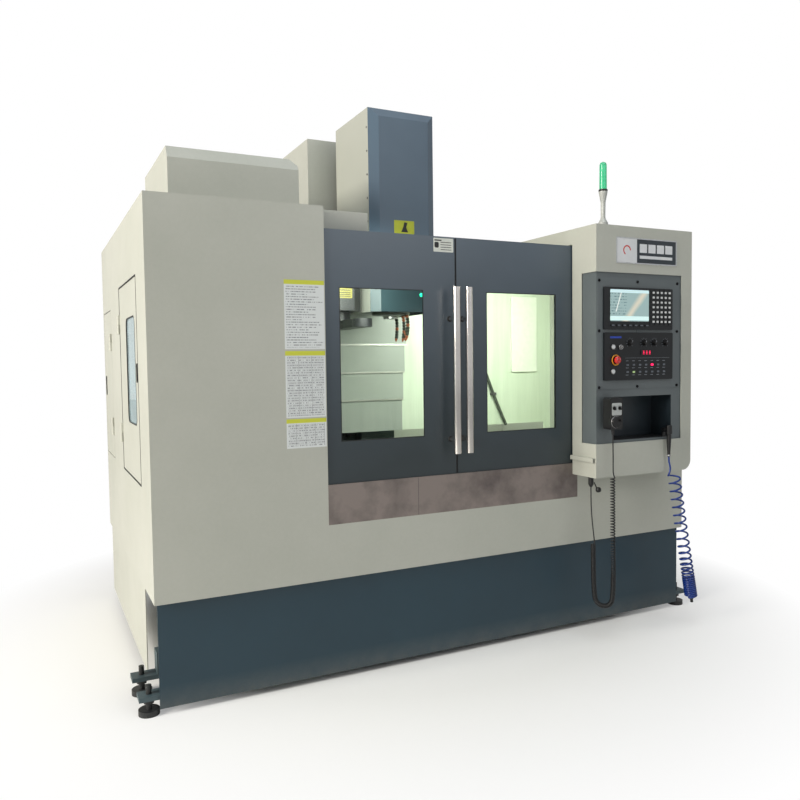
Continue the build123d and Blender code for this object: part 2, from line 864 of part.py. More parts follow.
# Tool magazine: roof cover, disc with its pots, gearbox on the column and the change arm
magazine_front_slope = 2485
magazine_slope_back = 40
magazine_top = 2545
magazine_bottom = 1770
magazine_chamfer = 35
disc_z = 2145
pot_circle = 312
pot_radius = 34
pot_count = 24
disc_x = magazine_x[1] - 60
disc_thickness = 22
pot_length = 130
arm_x = left + 1172
arm_z = (1700, 1745)
arm_reach = axis_x - arm_x
gearbox_bottom = 1800
gearbox_top = cabinet_height - 20
gearbox_x = (left + 985, left + 1262)
gearbox_y = (spindle_y - 150, spindle_y + 270)
shaft_radius = 30
disc_shaft_radius = 35
disc_shaft_tip = gearbox_x[0] + 30

with BuildPart() as magazine_cover:
    with BuildSketch(Plane.YZ.offset(magazine_x[0])):
        with BuildLine():
            Polyline(
                (magazine_y[0], magazine_bottom),
                (magazine_y[1], magazine_bottom),
                (magazine_y[1], magazine_top),
                (magazine_y[0] + magazine_slope_back, magazine_top),
                (magazine_y[0], magazine_front_slope),
                close=True,
            )
        make_face()
    extrude(amount=magazine_x[1] - magazine_x[0])
    chamfer(
        magazine_cover.edges().filter_by(Axis.Y).group_by(Axis.Z)[-1].sort_by(Axis.X)[-1],
        length=magazine_chamfer,
    )
    offset(
        amount=-sheet,
        openings=magazine_cover.faces().sort_by(Axis.Z)[0],
        kind=Kind.INTERSECTION,
    )
    with BuildSketch(Plane.YZ.offset(magazine_x[1] - 10)):
        with Locations((spindle_y, disc_z)):
            Circle(disc_shaft_radius + 12)
    extrude(amount=20, mode=Mode.SUBTRACT)
finish("magazine_cover", magazine_cover.part)

with BuildPart() as disc:
    with BuildSketch(Plane.YZ.offset(disc_x)):
        with Locations((spindle_y, disc_z)):
            Circle(pot_circle + 22)
    extrude(amount=disc_thickness)
    with BuildSketch(Plane.YZ.offset(disc_x - 20)):
        with Locations((spindle_y, disc_z)):
            Circle(90)
    extrude(amount=20)
    with BuildSketch(Plane.YZ.offset(disc_x + disc_thickness)):
        with Locations((spindle_y, disc_z)):
            Circle(disc_shaft_radius)
    extrude(amount=disc_shaft_tip - disc_x - disc_thickness)
    with BuildSketch(Plane.YZ.offset(disc_x - pot_length)):
        with Locations((spindle_y, disc_z)):
            with PolarLocations(pot_circle, pot_count):
                Circle(pot_radius)
    extrude(amount=pot_length)
finish("magazine_disc", disc.part)

with BuildPart() as gearbox:
    with BuildSketch(Plane.XY.offset(gearbox_bottom)):
        with BuildLine():
            Polyline(
                (gearbox_x[0], gearbox_y[1]),
                (gearbox_x[0], gearbox_y[0] + 60),
                (gearbox_x[0] + 60, gearbox_y[0]),
                (gearbox_x[1] - 60, gearbox_y[0]),
                (gearbox_x[1], gearbox_y[0] + 60),
                (gearbox_x[1], gearbox_y[1]),
                close=True,
            )
        make_face()
    extrude(amount=gearbox_top - gearbox_bottom)
    block(
        (gearbox_x[0], axis_x - column_half_width - 60),
        (gearbox_y[1], column_face + 200),
        (window_low + 20, window_high - 20),
    )
    block(
        (gearbox_x[0] + 60, axis_x - column_half_width),
        (column_face + 60, column_face + 200),
        (window_low + 20, window_high - 20),
    )
    with BuildSketch(Plane.XY.offset(gearbox_bottom)):
        with Locations((arm_x, spindle_y)):
            Circle(62)
    extrude(amount=-(gearbox_bottom - arm_z[1] - running_gap))
    with Locations((arm_x, spindle_y, arm_z[1])):
        Cylinder(
            shaft_radius + bearing_gap,
            150,
            align=(Align.CENTER, Align.CENTER, Align.MIN),
            mode=Mode.SUBTRACT,
        )
    with Locations(Location((gearbox_x[0] - 1, spindle_y, disc_z), (0, 90, 0))):
        Cylinder(
            disc_shaft_radius + bearing_gap,
            60,
            align=(Align.CENTER, Align.CENTER, Align.MIN),
            mode=Mode.SUBTRACT,
        )
finish("tool_changer_gearbox", gearbox.part)

jaw_radius = 32
with BuildPart() as change_arm:
    with BuildSketch(Plane.XY.offset(arm_z[0])):
        with Locations((arm_x, spindle_y)):
            Circle(66)
            Rectangle(84, 2 * arm_reach)
        with Locations((arm_x, spindle_y - arm_reach), (arm_x, spindle_y + arm_reach)):
            Circle(54)
            Circle(jaw_radius, mode=Mode.SUBTRACT)
        with Locations((arm_x + 40, spindle_y - arm_reach - 12), (arm_x - 40, spindle_y + arm_reach + 12)):
            Rectangle(80, 44, mode=Mode.SUBTRACT)
    extrude(amount=arm_z[1] - arm_z[0])
    with BuildSketch(Plane.XY.offset(arm_z[1])):
        with Locations((arm_x, spindle_y)):
            Circle(shaft_radius)
    extrude(amount=120)
finish("change_arm", change_arm.part)

# Column cover: hood over the Z motor
column_cover_half = 341
column_cover_top = column_top + 400
column_cover_front = front + 1215
column_cover_back = front + 1880
with BuildPart() as column_cover:
    block(
        (axis_x - column_cover_half, axis_x + column_cover_half),
        (column_cover_front, column_cover_back),
        (column_top - 40, column_cover_top),
    )
    block(
        (axis_x - column_cover_half + sheet, axis_x + column_cover_half - sheet),
        (column_cover_front + sheet, column_cover_back - sheet),
        (column_top - 41, column_cover_top - sheet),
        mode=Mode.SUBTRACT,
    )
    block(
        (axis_x - column_cover_half + sheet, axis_x + column_cover_half - sheet),
        (column_face, column_cover_back - sheet),
        (column_top, column_top + sheet),
    )
    block(
        (axis_x - 66, axis_x + 66),
        (z_screw_y - 66, z_screw_y + 66),
        (column_top - 1, column_top + 2 * sheet),
        mode=Mode.SUBTRACT,
    )
finish("column_cover", column_cover.part)

# Electrical cabinet at the rear right, with a mounting plate inside and a hinged door
electric_x = (500, 1420)
electric_y = (side_back + running_gap, back - 28)
electric_z = (500, 2100)
electric_sheet = 3
electric_door_inset = 6
electric_hinge_x = electric_x[1]
electric_door_back = back
shelf_arm_z = 470

with BuildPart() as electric:
    block(electric_x, electric_y, electric_z)
    block(
        (electric_x[0] + electric_sheet, electric_x[1] - electric_sheet),
        (electric_y[0] + electric_sheet, electric_y[1] + 1),
        (electric_z[0] + electric_sheet, electric_z[1] - electric_sheet),
        mode=Mode.SUBTRACT,
    )
    block(
        (electric_x[0] + electric_sheet, electric_x[1] - electric_sheet),
        (electric_y[0] + 40, electric_y[0] + 43),
        (electric_z[0] + 60, electric_z[1] - 60),
    )
    for n in range(4):
        block(
            (electric_x[0] + 120, electric_x[1] - 120),
            (electric_y[0] + 43, electric_y[0] + 150),
            (electric_z[0] + 200 + n * 340, electric_z[0] + 360 + n * 340),
        )
    for hinge_z in (electric_z[0] + 150, electric_z[1] - 250):
        with Locations((electric_hinge_x + hinge_radius, electric_y[1], hinge_z)):
            Cylinder(hinge_radius, hinge_length, align=(Align.CENTER, Align.CENTER, Align.MIN))
        block(
            (electric_hinge_x - 1, electric_hinge_x + hinge_radius),
            (electric_y[1] - hinge_leaf, electric_y[1]),
            (hinge_z, hinge_z + hinge_length),
        )
finish("electrical_cabinet", electric.part)

with BuildPart() as electric_door:
    block(
        electric_x,
        (electric_y[1] + running_gap, electric_door_back),
        electric_z,
    )
    block(
        (electric_x[0] + 20, electric_x[1] - 20),
        (electric_y[1], electric_door_back - electric_sheet),
        (electric_z[0] + 20, electric_z[1] - 20),
        mode=Mode.SUBTRACT,
    )
    for vent_z in (electric_z[0] + 150, electric_z[1] - 210):
        for n in range(5):
            with Locations(((electric_x[0] + electric_x[1]) / 2, electric_door_back, vent_z + n * 26)):
                Box(300, 20, 8, mode=Mode.SUBTRACT)
    for hinge_z in (electric_z[0] + 150, electric_z[1] - 250):
        with Locations(
            (electric_hinge_x + hinge_radius, electric_y[1], hinge_z + hinge_length + running_gap)
        ):
            Cylinder(hinge_radius, hinge_length, align=(Align.CENTER, Align.CENTER, Align.MIN))
        block(
            (electric_hinge_x - 1, electric_hinge_x + hinge_radius),
            (electric_y[1] + running_gap, electric_y[1] + 6),
            (hinge_z + hinge_length + running_gap, hinge_z + 2 * hinge_length),
        )
finish("electrical_cabinet_door", electric_door.part)

# Operator console: hollow housing with a sunk front panel, a shelf recess and a hooked side ledge
console_left = left + 2231
console_right = left + 2920
console_front = front - console_proud
console_z = (879, right_cabinet_height)
console_skin = 4
panel_sink = 8
panel_x = (console_left, left + 2843)
panel_z = (1060, 1970)
panel_wrap = 116
recess_x = (left + 2357, left + 2776)
recess_z = (1074, 1308)
recess_depth = 150
corner_radius = 55
ledge_z = (963, 986)
ledge_reach = 16

with BuildPart() as console:
    block((console_left, console_right), (console_front, front), console_z)
    fillet(console.edges().filter_by(Axis.Y).group_by(Axis.Z)[0].sort_by(Axis.X)[-1], radius=corner_radius)
    offset(
        amount=-console_skin,
        openings=console.faces().sort_by(Axis.Y)[-1],
        kind=Kind.INTERSECTION,
    )
    block(
        (console_left - 1, panel_x[1]),
        (console_front - 1, console_front + console_skin),
        panel_z,
        mode=Mode.SUBTRACT,
    )
    block(
        (console_left - 1, console_left + console_skin),
        (console_front - 1, console_front + panel_wrap),
        panel_z,
        mode=Mode.SUBTRACT,
    )
    block(
        (console_left - ledge_reach, console_left + 1),
        (console_front + 8, front),
        (ledge_z[1] - 3, ledge_z[1]),
    )
    block(
        (console_left - ledge_reach, console_left - ledge_reach + 3),
        (console_front + 8, front),
        ledge_z,
    )
finish("console_housing", console.part)

# Console panel: folded dark sheet with a raised access plate on screws and the shelf tray
panel_edge = 18
panel_face = console_front + panel_sink
panel_back = panel_face + console_skin
raised_plate = 3
raised_x = (left + 2242, left + 2828)
raised_z = (1350, 1945)
plate_face = panel_face - raised_plate
screw_x = (left + 2254, left + 2521, left + 2813)
screw_z = (1925, 1660, 1361)

with BuildPart() as console_panel:
    block(
        (console_left + console_skin, panel_x[1] + panel_edge),
        (console_front + console_skin, panel_back),
        (panel_z[0] - panel_edge, panel_z[1] + panel_edge),
    )
    block(
        (console_left + console_skin, panel_x[1]),
        (console_front + console_skin, panel_face),
        panel_z,
        mode=Mode.SUBTRACT,
    )
    block(
        (console_left + console_skin, console_left + panel_sink + console_skin),
        (panel_back, console_front + panel_wrap + panel_edge),
        (panel_z[0] - panel_edge, panel_z[1] + panel_edge),
    )
    block(
        (console_left + console_skin, console_left + panel_sink),
        (console_front, console_front + panel_wrap),
        panel_z,
        mode=Mode.SUBTRACT,
    )
    block(raised_x, (plate_face, panel_face), raised_z)
    with Locations(*[Location((x, plate_face, z), (90, 0, 0)) for x in screw_x for z in screw_z]):
        Cylinder(6, 2.5, align=(Align.CENTER, Align.CENTER, Align.MIN))
    block(
        (recess_x[0] - 3, recess_x[1] + 3),
        (panel_back, panel_back + recess_depth),
        (recess_z[0] - 3, recess_z[1] + 3),
    )
    block(recess_x, (panel_face - 1, panel_face + recess_depth), recess_z, mode=Mode.SUBTRACT)
finish("console_panel", console_panel.part)

# Display module: screen, a grid of keys beside it and a row of soft keys under it
module_x = (left + 2281, left + 2770)
module_z = (1668, 1892)
module_face = plate_face - 10
screen_x = (left + 2322, left + 2592)
screen_z = (1712, 1880)
key_grid_x = (left + 2612, left + 2752)
key_grid_z = (1702, 1878)
key_columns = 5
key_rows = 7
soft_key_z = 1690

with BuildPart() as display:
    block(module_x, (module_face, plate_face), module_z)
    fillet(display.edges().filter_by(Axis.Y), radius=6)
    block(screen_x, (module_face, module_face + 3), screen_z, mode=Mode.SUBTRACT)
    key_pitch_x = (key_grid_x[1] - key_grid_x[0]) / (key_columns - 1)
    key_pitch_z = (key_grid_z[1] - key_grid_z[0]) / (key_rows - 1)
    for column_n in range(key_columns):
        for row_n in range(key_rows):
            with Locations(
                (key_grid_x[0] + column_n * key_pitch_x, module_face - 1.5, key_grid_z[0] + row_n * key_pitch_z)
            ):
                Box(22, 3, 18)
    for n in range(7):
        with Locations((screen_x[0] + 15 + n * 40, module_face - 1.5, soft_key_z)):
            Box(24, 3, 12)
finish("display_module", display.part)

# Operator panel with collars for the controls, then the controls themselves
operator_x = (left + 2282, left + 2770)
operator_z = (1397, 1652)
operator_face = plate_face - 12
control_bore = 11
stop_at = (left + 2357, 1505)
start_at = (left + 2339, 1575)
halt_at = (left + 2338, 1444)
key_at = (left + 2391, 1574)
knob_at = [(left + x, 1597) for x in (2458, 2558, 2631, 2713)]
stop_stem = 8
button_radius = 10
key_radius = 9
knob_radius = 15
knob_stem = 4

with BuildPart() as operator_panel:
    block(operator_x, (operator_face, plate_face), operator_z)
    fillet(operator_panel.edges().filter_by(Axis.Y), radius=6)
    for (x, z), collar, rise in (
        (stop_at, 30, 3),
        (start_at, 14, 4),
        (halt_at, 14, 4),
        (key_at, 14, 4),
    ):
        with Locations(Location((x, operator_face, z), (90, 0, 0))):
            Cylinder(collar, rise, align=(Align.CENTER, Align.CENTER, Align.MIN))
    for (x, z), bore in (
        (stop_at, stop_stem),
        (start_at, button_radius),
        (halt_at, button_radius),
        (key_at, key_radius),
    ):
        with Locations(Location((x, operator_face + control_bore, z), (90, 0, 0))):
            Cylinder(
                bore + bearing_gap,
                control_bore + 10,
                align=(Align.CENTER, Align.CENTER, Align.MIN),
                mode=Mode.SUBTRACT,
            )
    for x, z in knob_at:
        with Locations(Location((x, operator_face + 6, z), (90, 0, 0))):
            Cylinder(
                knob_stem + bearing_gap,
                10,
                align=(Align.CENTER, Align.CENTER, Align.MIN),
                mode=Mode.SUBTRACT,
            )
    block((left + 2533, left + 2629), (operator_face - 3, operator_face), (1532, 1556))
    for row_z in (1478, 1440):
        for n in range(7):
            block(
                (left + 2440 + n * 44, left + 2466 + n * 44),
                (operator_face - 2, operator_face),
                (row_z - 10, row_z + 10),
            )
finish("operator_panel", operator_panel.part)

with BuildPart() as e_stop:
    with BuildSketch(Plane.YZ.offset(stop_at[0])):
        with BuildLine():
            Polyline(
                (operator_face + 5, stop_at[1]),
                (operator_face + 5, stop_at[1] + stop_stem),
                (operator_face - 10, stop_at[1] + stop_stem),
                (operator_face - 10, stop_at[1] + 18),
                (operator_face - 14, stop_at[1] + 20),
                (operator_face - 20, stop_at[1] + 20),
                (operator_face - 26, stop_at[1] + 15),
                (operator_face - 27, stop_at[1]),
                close=True,
            )
        make_face()
    revolve(axis=Axis((stop_at[0], 0, stop_at[1]), (0, 1, 0)))
finish("e_stop", e_stop.part)

for name, (x, z) in (("start_button", start_at), ("stop_button", halt_at)):
    with BuildPart() as button:
        with BuildSketch(Plane.XZ.offset(-operator_face - 6)):
            with Locations((x, z)):
                Circle(button_radius)
        extrude(amount=13)
    finish(name, button.part)

with BuildPart() as key_switch:
    with BuildSketch(Plane.XZ.offset(-operator_face - 8)):
        with Locations(key_at):
            Circle(key_radius)
    extrude(amount=14)
    block(
        (key_at[0] - 1.5, key_at[0] + 1.5),
        (operator_face - 20, operator_face - 5),
        (key_at[1] - 7, key_at[1] + 7),
    )
finish("key_switch", key_switch.part)

for n, (x, z) in enumerate(knob_at):
    with BuildPart() as knob:
        with BuildSketch(Plane.XZ.offset(-operator_face - 5)):
            with Locations((x, z)):
                Circle(knob_stem)
        extrude(amount=5 + running_gap)
        with BuildSketch(Plane.XZ.offset(-operator_face + running_gap)):
            with Locations((x, z)):
                Circle(knob_radius)
        extrude(amount=6)
        with BuildSketch(Plane.XZ.offset(-operator_face + running_gap + 6)):
            with Locations((x, z)):
                Circle(knob_radius - 4)
                Rectangle(7, 2 * knob_radius)
        extrude(amount=12)
    finish(f"knob_{n + 1}", knob.part)

# Signal lamp on the console roof
lamp_x = left + 2358
lamp_y = front - 100
lamp_foot = console_z[1]
lamp_seat = lamp_foot + 195
lamp_tip = lamp_seat + 154

with BuildPart() as lamp_base:
    with BuildSketch(Plane.XZ.offset(-lamp_y)):
        with BuildLine():
            Polyline(
                (lamp_x, lamp_foot),
                (lamp_x + 27, lamp_foot),
                (lamp_x + 26, lamp_foot + 26),
                (lamp_x + 14, lamp_foot + 46),
                (lamp_x + 12, lamp_foot + 60),
                (lamp_x + 13, lamp_seat - 60),
                (lamp_x + 23, lamp_seat - 8),
                (lamp_x + 23, lamp_seat),
                (lamp_x, lamp_seat),
                close=True,
            )
        make_face()
    revolve(axis=Axis((lamp_x, lamp_y, 0), (0, 0, 1)))
finish("lamp_base", lamp_base.part)

with BuildPart() as lamp_lens:
    with BuildSketch(Plane.XZ.offset(-lamp_y)):
        with BuildLine():
            Polyline(
                (lamp_x, lamp_seat),
                (lamp_x + 20, lamp_seat),
                (lamp_x + 19, lamp_tip - 16),
                (lamp_x + 15, lamp_tip - 5),
                (lamp_x + 6, lamp_tip),
                (lamp_x, lamp_tip),
                close=True,
            )
        make_face()
    revolve(axis=Axis((lamp_x, lamp_y, 0), (0, 0, 1)))
finish("lamp_lens", lamp_lens.part)

# Handset: hand-held pulse unit, held on the panel by two magnets, with a wheel and two selectors
handset_x = (left + 2267, left + 2349)
handset_mid_x = (handset_x[0] + handset_x[1]) / 2
handset_y = (front - 263, front - 205)
handset_z = (1141, 1309)
magnet_radius = 15
boot_length = 30
wheel_at = (left + 2302, 1181)
wheel_radius = 30
wheel_face = front - console_proud - handset_proud
selector_at = {"axis_selector": (left + 2289, 1254), "rate_selector": (left + 2326, 1254)}

with BuildPart() as handset:
    block(handset_x, handset_y, handset_z)
    fillet(handset.edges().filter_by(Axis.Y), radius=12)
    with Locations(*[Location((handset_mid_x, panel_face, z), (90, 0, 0)) for z in (1185, 1270)]):
        Cylinder(
            magnet_radius,
            panel_face - handset_y[1],
            align=(Align.CENTER, Align.CENTER, Align.MIN),
        )
    with BuildSketch(Plane.XY.offset(handset_z[0])):
        with Locations((handset_mid_x, (handset_y[0] + handset_y[1]) / 2)):
            Circle(10)
    with BuildSketch(Plane.XY.offset(handset_z[0] - boot_length)):
        with Locations((handset_mid_x, (handset_y[0] + handset_y[1]) / 2)):
            Circle(5.5)
    loft()
    for (x, z), bore in ((wheel_at, 5), (selector_at["axis_selector"], 4), (selector_at["rate_selector"], 4)):
        with Locations(Location((x, handset_y[0] + 12, z), (90, 0, 0))):
            Cylinder(
                bore + bearing_gap,
                20,
                align=(Align.CENTER, Align.CENTER, Align.MIN),
                mode=Mode.SUBTRACT,
            )
finish("handset", handset.part)

with BuildPart() as handwheel:
    with BuildSketch(Plane.XZ.offset(-handset_y[0] - 11)):
        with Locations(wheel_at):
            Circle(5)
    extrude(amount=12)
    with BuildSketch(Plane.XZ.offset(-handset_y[0] + running_gap)):
        with Locations(wheel_at):
            Circle(wheel_radius)
    extrude(amount=13)
    fillet(handwheel.edges().group_by(Axis.Y)[0], radius=3)
    with BuildSketch(Plane.XZ.offset(-handset_y[0] + 13)):
        with Locations((wheel_at[0] + 17, wheel_at[1] + 9)):
            Circle(5.5)
    extrude(amount=handset_y[0] - 13 - wheel_face)
finish("handwheel", handwheel.part)

for name, at in selector_at.items():
    with BuildPart() as selector:
        with BuildSketch(Plane.XZ.offset(-handset_y[0] - 11)):
            with Locations(at):
                Circle(4)
        extrude(amount=12)
        with BuildSketch(Plane.XZ.offset(-handset_y[0] + running_gap)):
            with Locations(at):
                Circle(10)
        extrude(amount=5)
        with BuildSketch(Plane.XZ.offset(-handset_y[0] + running_gap + 5)):
            with Locations(at):
                Rectangle(7, 19)
        extrude(amount=9)
    finish(name, selector.part)

# Socket under the console and the curly cord that hangs between it and the handset
socket_x = left + 2258
socket_y = front - 120
socket_bottom = 822
cord_diameter = 6.5
coil_diameter = 28
cord_y = (handset_y[0] + handset_y[1]) / 2
coil_top = (handset_mid_x, cord_y, 885)
coil_end = (left + 2246, front - 152, 520)


def bend_radii(points):
    """Radius for each inner point of a route: as wide as its shorter run allows."""
    radii = []
    for a, b, c in zip(points, points[1:], points[2:]):
        before = Vector(*b) - Vector(*a)
        after = Vector(*c) - Vector(*b)
        turn = before.get_angle(after)
        reach = 0.45 * min(before.length, after.length)
        radii.append(reach / tan(radians(turn / 2)))
    print("bend radii", [round(radius) for radius in radii])
    return radii


def tube(name, points, diameter):
    """Round tube along a route of straight runs joined by tangent arcs."""
    with BuildPart() as cord:
        with BuildLine():
            if len(points) > 2:
                route = FilletPolyline(*points, radius=bend_radii(points))
            else:
                route = Line(*points)
        with BuildSketch(Plane(origin=route @ 0, z_dir=route % 0)):
            Circle(diameter / 2)
        sweep()
    straight_volume = 3.14159 * diameter**2 / 4 * route.length
    print(name, "length", round(route.length), "volume ratio", round(cord.part.volume / straight_volume, 3))
    finish(name, cord.part)


with BuildPart() as socket:
    with BuildSketch(Plane.XZ.offset(-socket_y)):
        with BuildLine():
            Polyline(
                (socket_x, console_z[0]),
                (socket_x + 18, console_z[0]),
                (socket_x + 18, console_z[0] - 6),
                (socket_x + 14, console_z[0] - 8),
                (socket_x + 14, socket_bottom + 14),
                (socket_x + 6, socket_bottom),
                (socket_x, socket_bottom),
                close=True,
            )
        make_face()
    revolve(axis=Axis((socket_x, socket_y, 0), (0, 0, 1)))
finish("pendant_socket", socket.part)

tube("pendant_lead", [(handset_mid_x, cord_y, handset_z[0] - boot_length), coil_top], cord_diameter)
tube(
    "pendant_coil",
    [
        coil_top,
        (handset_mid_x, cord_y, 600),
        (left + 2311, front - 239, 235),
        (left + 2295, front - 217, 188),
        (left + 2263, front - 175, 188),
        (left + 2246, front - 152, 235),
        coil_end,
    ],
    coil_diameter,
)
tube(
    "pendant_tail",
    [
        coil_end,
        (left + 2246, front - 152, 590),
        (left + 2253, front - 130, 680),
        (socket_x, socket_y, 755),
        (socket_x, socket_y, socket_bottom),
    ],
    cord_diameter,
)

# Air outlet on the shelf and the coiled air hose that hangs from it
outlet_x = left + 2728
outlet_y = front - 216
outlet_top = 1140
outlet_shoulder = 1092
outlet_bottom = 965
hose_diameter = 10
hose_coil_diameter = 72
hose_coil_top = (left + 2750, front - 232, 866)
hose_coil_end = (left + 2870, front - 249, 168)

with BuildPart() as outlet:
    with BuildSketch(Plane.XZ.offset(-outlet_y)):
        with BuildLine():
            Polyline(
                (outlet_x, outlet_top),
                (outlet_x + 15, outlet_top),
                (outlet_x + 17, outlet_top - 3),
                (outlet_x + 17, outlet_shoulder),
                (outlet_x + 13, outlet_shoulder - 4),
                (outlet_x + 12, outlet_shoulder - 40),
                (outlet_x + 7, outlet_bottom),
                (outlet_x, outlet_bottom),
                close=True,
            )
        make_face()
    revolve(axis=Axis((outlet_x, outlet_y, 0), (0, 0, 1)))
    block((outlet_x - 11, outlet_x + 11), (outlet_y, panel_face + 12), (outlet_top - 38, outlet_top - 14))
    block((outlet_x - 11, outlet_x + 11), (panel_face + 4, panel_face + 12), (recess_z[0], outlet_top - 14))
    block((outlet_x - 22, outlet_x + 22), (panel_face + 4, panel_face + 70), (recess_z[0], recess_z[0] + 4))
finish("air_outlet", outlet.part)

hose_coil_route = [
    hose_coil_top,
    (left + 2786, front - 238, 640),
    (left + 2830, front - 245, 390),
    hose_coil_end,
]
coil_start_way = (Vector(*hose_coil_route[1]) - Vector(*hose_coil_top)).normalized()
coil_end_way = (Vector(*hose_coil_end) - Vector(*hose_coil_route[2])).normalized()
hose_bend = tuple(Vector(*hose_coil_top) - coil_start_way * 33)

tube(
    "air_hose",
    [(outlet_x, outlet_y, outlet_bottom), (outlet_x, outlet_y, 932), hose_bend, hose_coil_top],
    hose_diameter,
)
tube("air_hose_coil", hose_coil_route, hose_coil_diameter)

with BuildPart() as hose_end:
    with BuildSketch(Plane(origin=hose_coil_end, z_dir=coil_end_way)):
        Circle(12)
    extrude(amount=16)
    with BuildSketch(Plane(origin=hose_coil_end, z_dir=coil_end_way).offset(16)):
        Circle(8)
    extrude(amount=20)
finish("hose_end", hose_end.part)

low = [min(tuple(box.min)[i] for _, box, _ in boxes) for i in range(3)]
high = [max(tuple(box.max)[i] for _, box, _ in boxes) for i in range(3)]
print("pieces", len(boxes), "low", low, "high", high)
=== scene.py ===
from math import cos, pi, radians, sin

import bmesh
import bpy
from mathutils import Matrix, Vector


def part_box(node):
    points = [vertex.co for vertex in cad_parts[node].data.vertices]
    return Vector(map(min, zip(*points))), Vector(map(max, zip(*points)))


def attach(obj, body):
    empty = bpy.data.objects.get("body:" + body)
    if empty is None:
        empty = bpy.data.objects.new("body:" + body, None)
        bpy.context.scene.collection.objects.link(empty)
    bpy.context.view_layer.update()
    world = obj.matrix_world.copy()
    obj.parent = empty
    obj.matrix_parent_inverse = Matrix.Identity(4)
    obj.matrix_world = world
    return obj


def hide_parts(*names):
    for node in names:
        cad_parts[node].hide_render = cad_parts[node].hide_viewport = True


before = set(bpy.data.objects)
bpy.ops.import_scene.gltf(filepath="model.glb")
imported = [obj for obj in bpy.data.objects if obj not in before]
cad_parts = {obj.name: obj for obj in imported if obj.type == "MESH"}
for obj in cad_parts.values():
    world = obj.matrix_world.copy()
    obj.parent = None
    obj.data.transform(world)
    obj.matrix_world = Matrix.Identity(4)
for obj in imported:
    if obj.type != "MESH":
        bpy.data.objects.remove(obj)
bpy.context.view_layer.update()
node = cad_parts


# The camera stands a little left of the machine at eye height and looks to the right and slightly down,
# with the lens and tilt that the vanishing points of the photographed edges give.
camera_place = Vector((-1.975, -4.279, 1.513))
camera_yaw = radians(26.351)
camera_pitch = radians(2.95)
camera_roll = radians(-0.739)
camera_lens = 33.72

looking = Vector((
    sin(camera_yaw) * cos(camera_pitch), cos(camera_yaw) * cos(camera_pitch), -sin(camera_pitch)
))
level_right = Vector((cos(camera_yaw), -sin(camera_yaw), 0.0))
level_up = level_right.cross(looking)
camera_right = level_right * cos(camera_roll) + level_up * sin(camera_roll)
camera_up = level_up * cos(camera_roll) - level_right * sin(camera_roll)

camera_data = bpy.data.cameras.new("camera")
camera_data.lens = camera_lens
camera_data.sensor_width = 36.0
camera = bpy.data.objects.new("camera", camera_data)
bpy.context.scene.collection.objects.link(camera)
camera_turn = Matrix((camera_right, camera_up, -looking)).transposed().to_4x4()
camera.matrix_world = Matrix.Translation(camera_place) @ camera_turn
bpy.context.scene.camera = camera
bpy.context.scene.view_settings.view_transform = "Standard"


# The floor is a pale studio sweep and the light is soft: a wide lamp to the left, where the photograph's
# window light falls on the side, a weaker one in front and a fill from above.
class Socket:
    """An output of a shader node. Arithmetic on it adds its own Math nodes."""

    def __init__(self, tree, output=None):
        self.tree = tree
        self.output = output

    def node(self, kind, settings=None, inputs=None, output=0):
        """Add any node: its settings are set first, then the values or links of its sockets."""
        made = self.tree.nodes.new(kind)
        for key, value in (settings or {}).items():
            if key == "stops":
                ramp = made.color_ramp
                while len(ramp.elements) < len(value):
                    ramp.elements.new(0.5)
                for element, (place, colour) in zip(ramp.elements, value):
                    element.position = place
                    element.color = colour
            else:
                setattr(made, key, value)
        for key, value in (inputs or {}).items():
            if isinstance(value, Socket):
                self.tree.links.new(made.inputs[key], value.output)
            else:
                made.inputs[key].default_value = value
        return Socket(self.tree, made.outputs[output])

    def math(self, operation, other=0.0, clamp=False, swapped=False):
        """One Math node on this socket and another value, or the other way round."""
        first, second = (other, self) if swapped else (self, other)
        settings = {"operation": operation, "use_clamp": clamp}
        return self.node("ShaderNodeMath", settings, {0: first, 1: second})

    def __add__(self, other):
        return self.math("ADD", other)

    def __radd__(self, other):
        return self.math("ADD", other, swapped=True)

    def __sub__(self, other):
        return self.math("SUBTRACT", other)

    def __rsub__(self, other):
        return self.math("SUBTRACT", other, swapped=True)

    def __mul__(self, other):
        return self.math("MULTIPLY", other)

    def __rmul__(self, other):
        return self.math("MULTIPLY", other, swapped=True)

    def __gt__(self, other):
        return self.math("GREATER_THAN", other)

    def __lt__(self, other):
        return self.math("LESS_THAN", other)

    def clamped(self):
        return self.math("ADD", clamp=True)

    def either(self, other):
        """The larger of two masks."""
        return self.math("MAXIMUM", other)

    def coordinate(self, axis):
        """One coordinate of a place: 0 across, 1 to the back, 2 up."""
        return self.node("ShaderNodeSeparateXYZ", {}, {0: self}, output=axis)

    def mixed(self, first, second):
        """The first colour where this mask is 0, the second where it is 1."""
        return self.node(
            "ShaderNodeMix", {"data_type": "RGBA", "clamp_factor": True},
            {0: self, 6: first, 7: second}, output=2
        )


def noise(place, scale, detail=3.0, roughness=0.5):
    return place.node(
        "ShaderNodeTexNoise", {},
        {"Vector": place, "Scale": scale, "Detail": detail, "Roughness": roughness}
    )


def new_finish(name, colour, roughness, metallic=0.0, coat=0.0):
    """A material with its shader set, and the object's own coordinates, in metres."""
    material = bpy.data.materials.new(name)
    material.use_nodes = True
    tree = material.node_tree
    shader = tree.nodes["Principled BSDF"]
    shader.inputs["Base Color"].default_value = colour
    shader.inputs["Roughness"].default_value = roughness
    shader.inputs["Metallic"].default_value = metallic
    shader.inputs["Coat Weight"].default_value = coat
    shader.inputs["Coat Roughness"].default_value = 0.25 if coat else 0.03
    place = Socket(tree).node("ShaderNodeTexCoord", output="Object")
    return material, shader, place


def feed(shader, socket_name, value):
    value.tree.links.new(shader.inputs[socket_name], value.output)


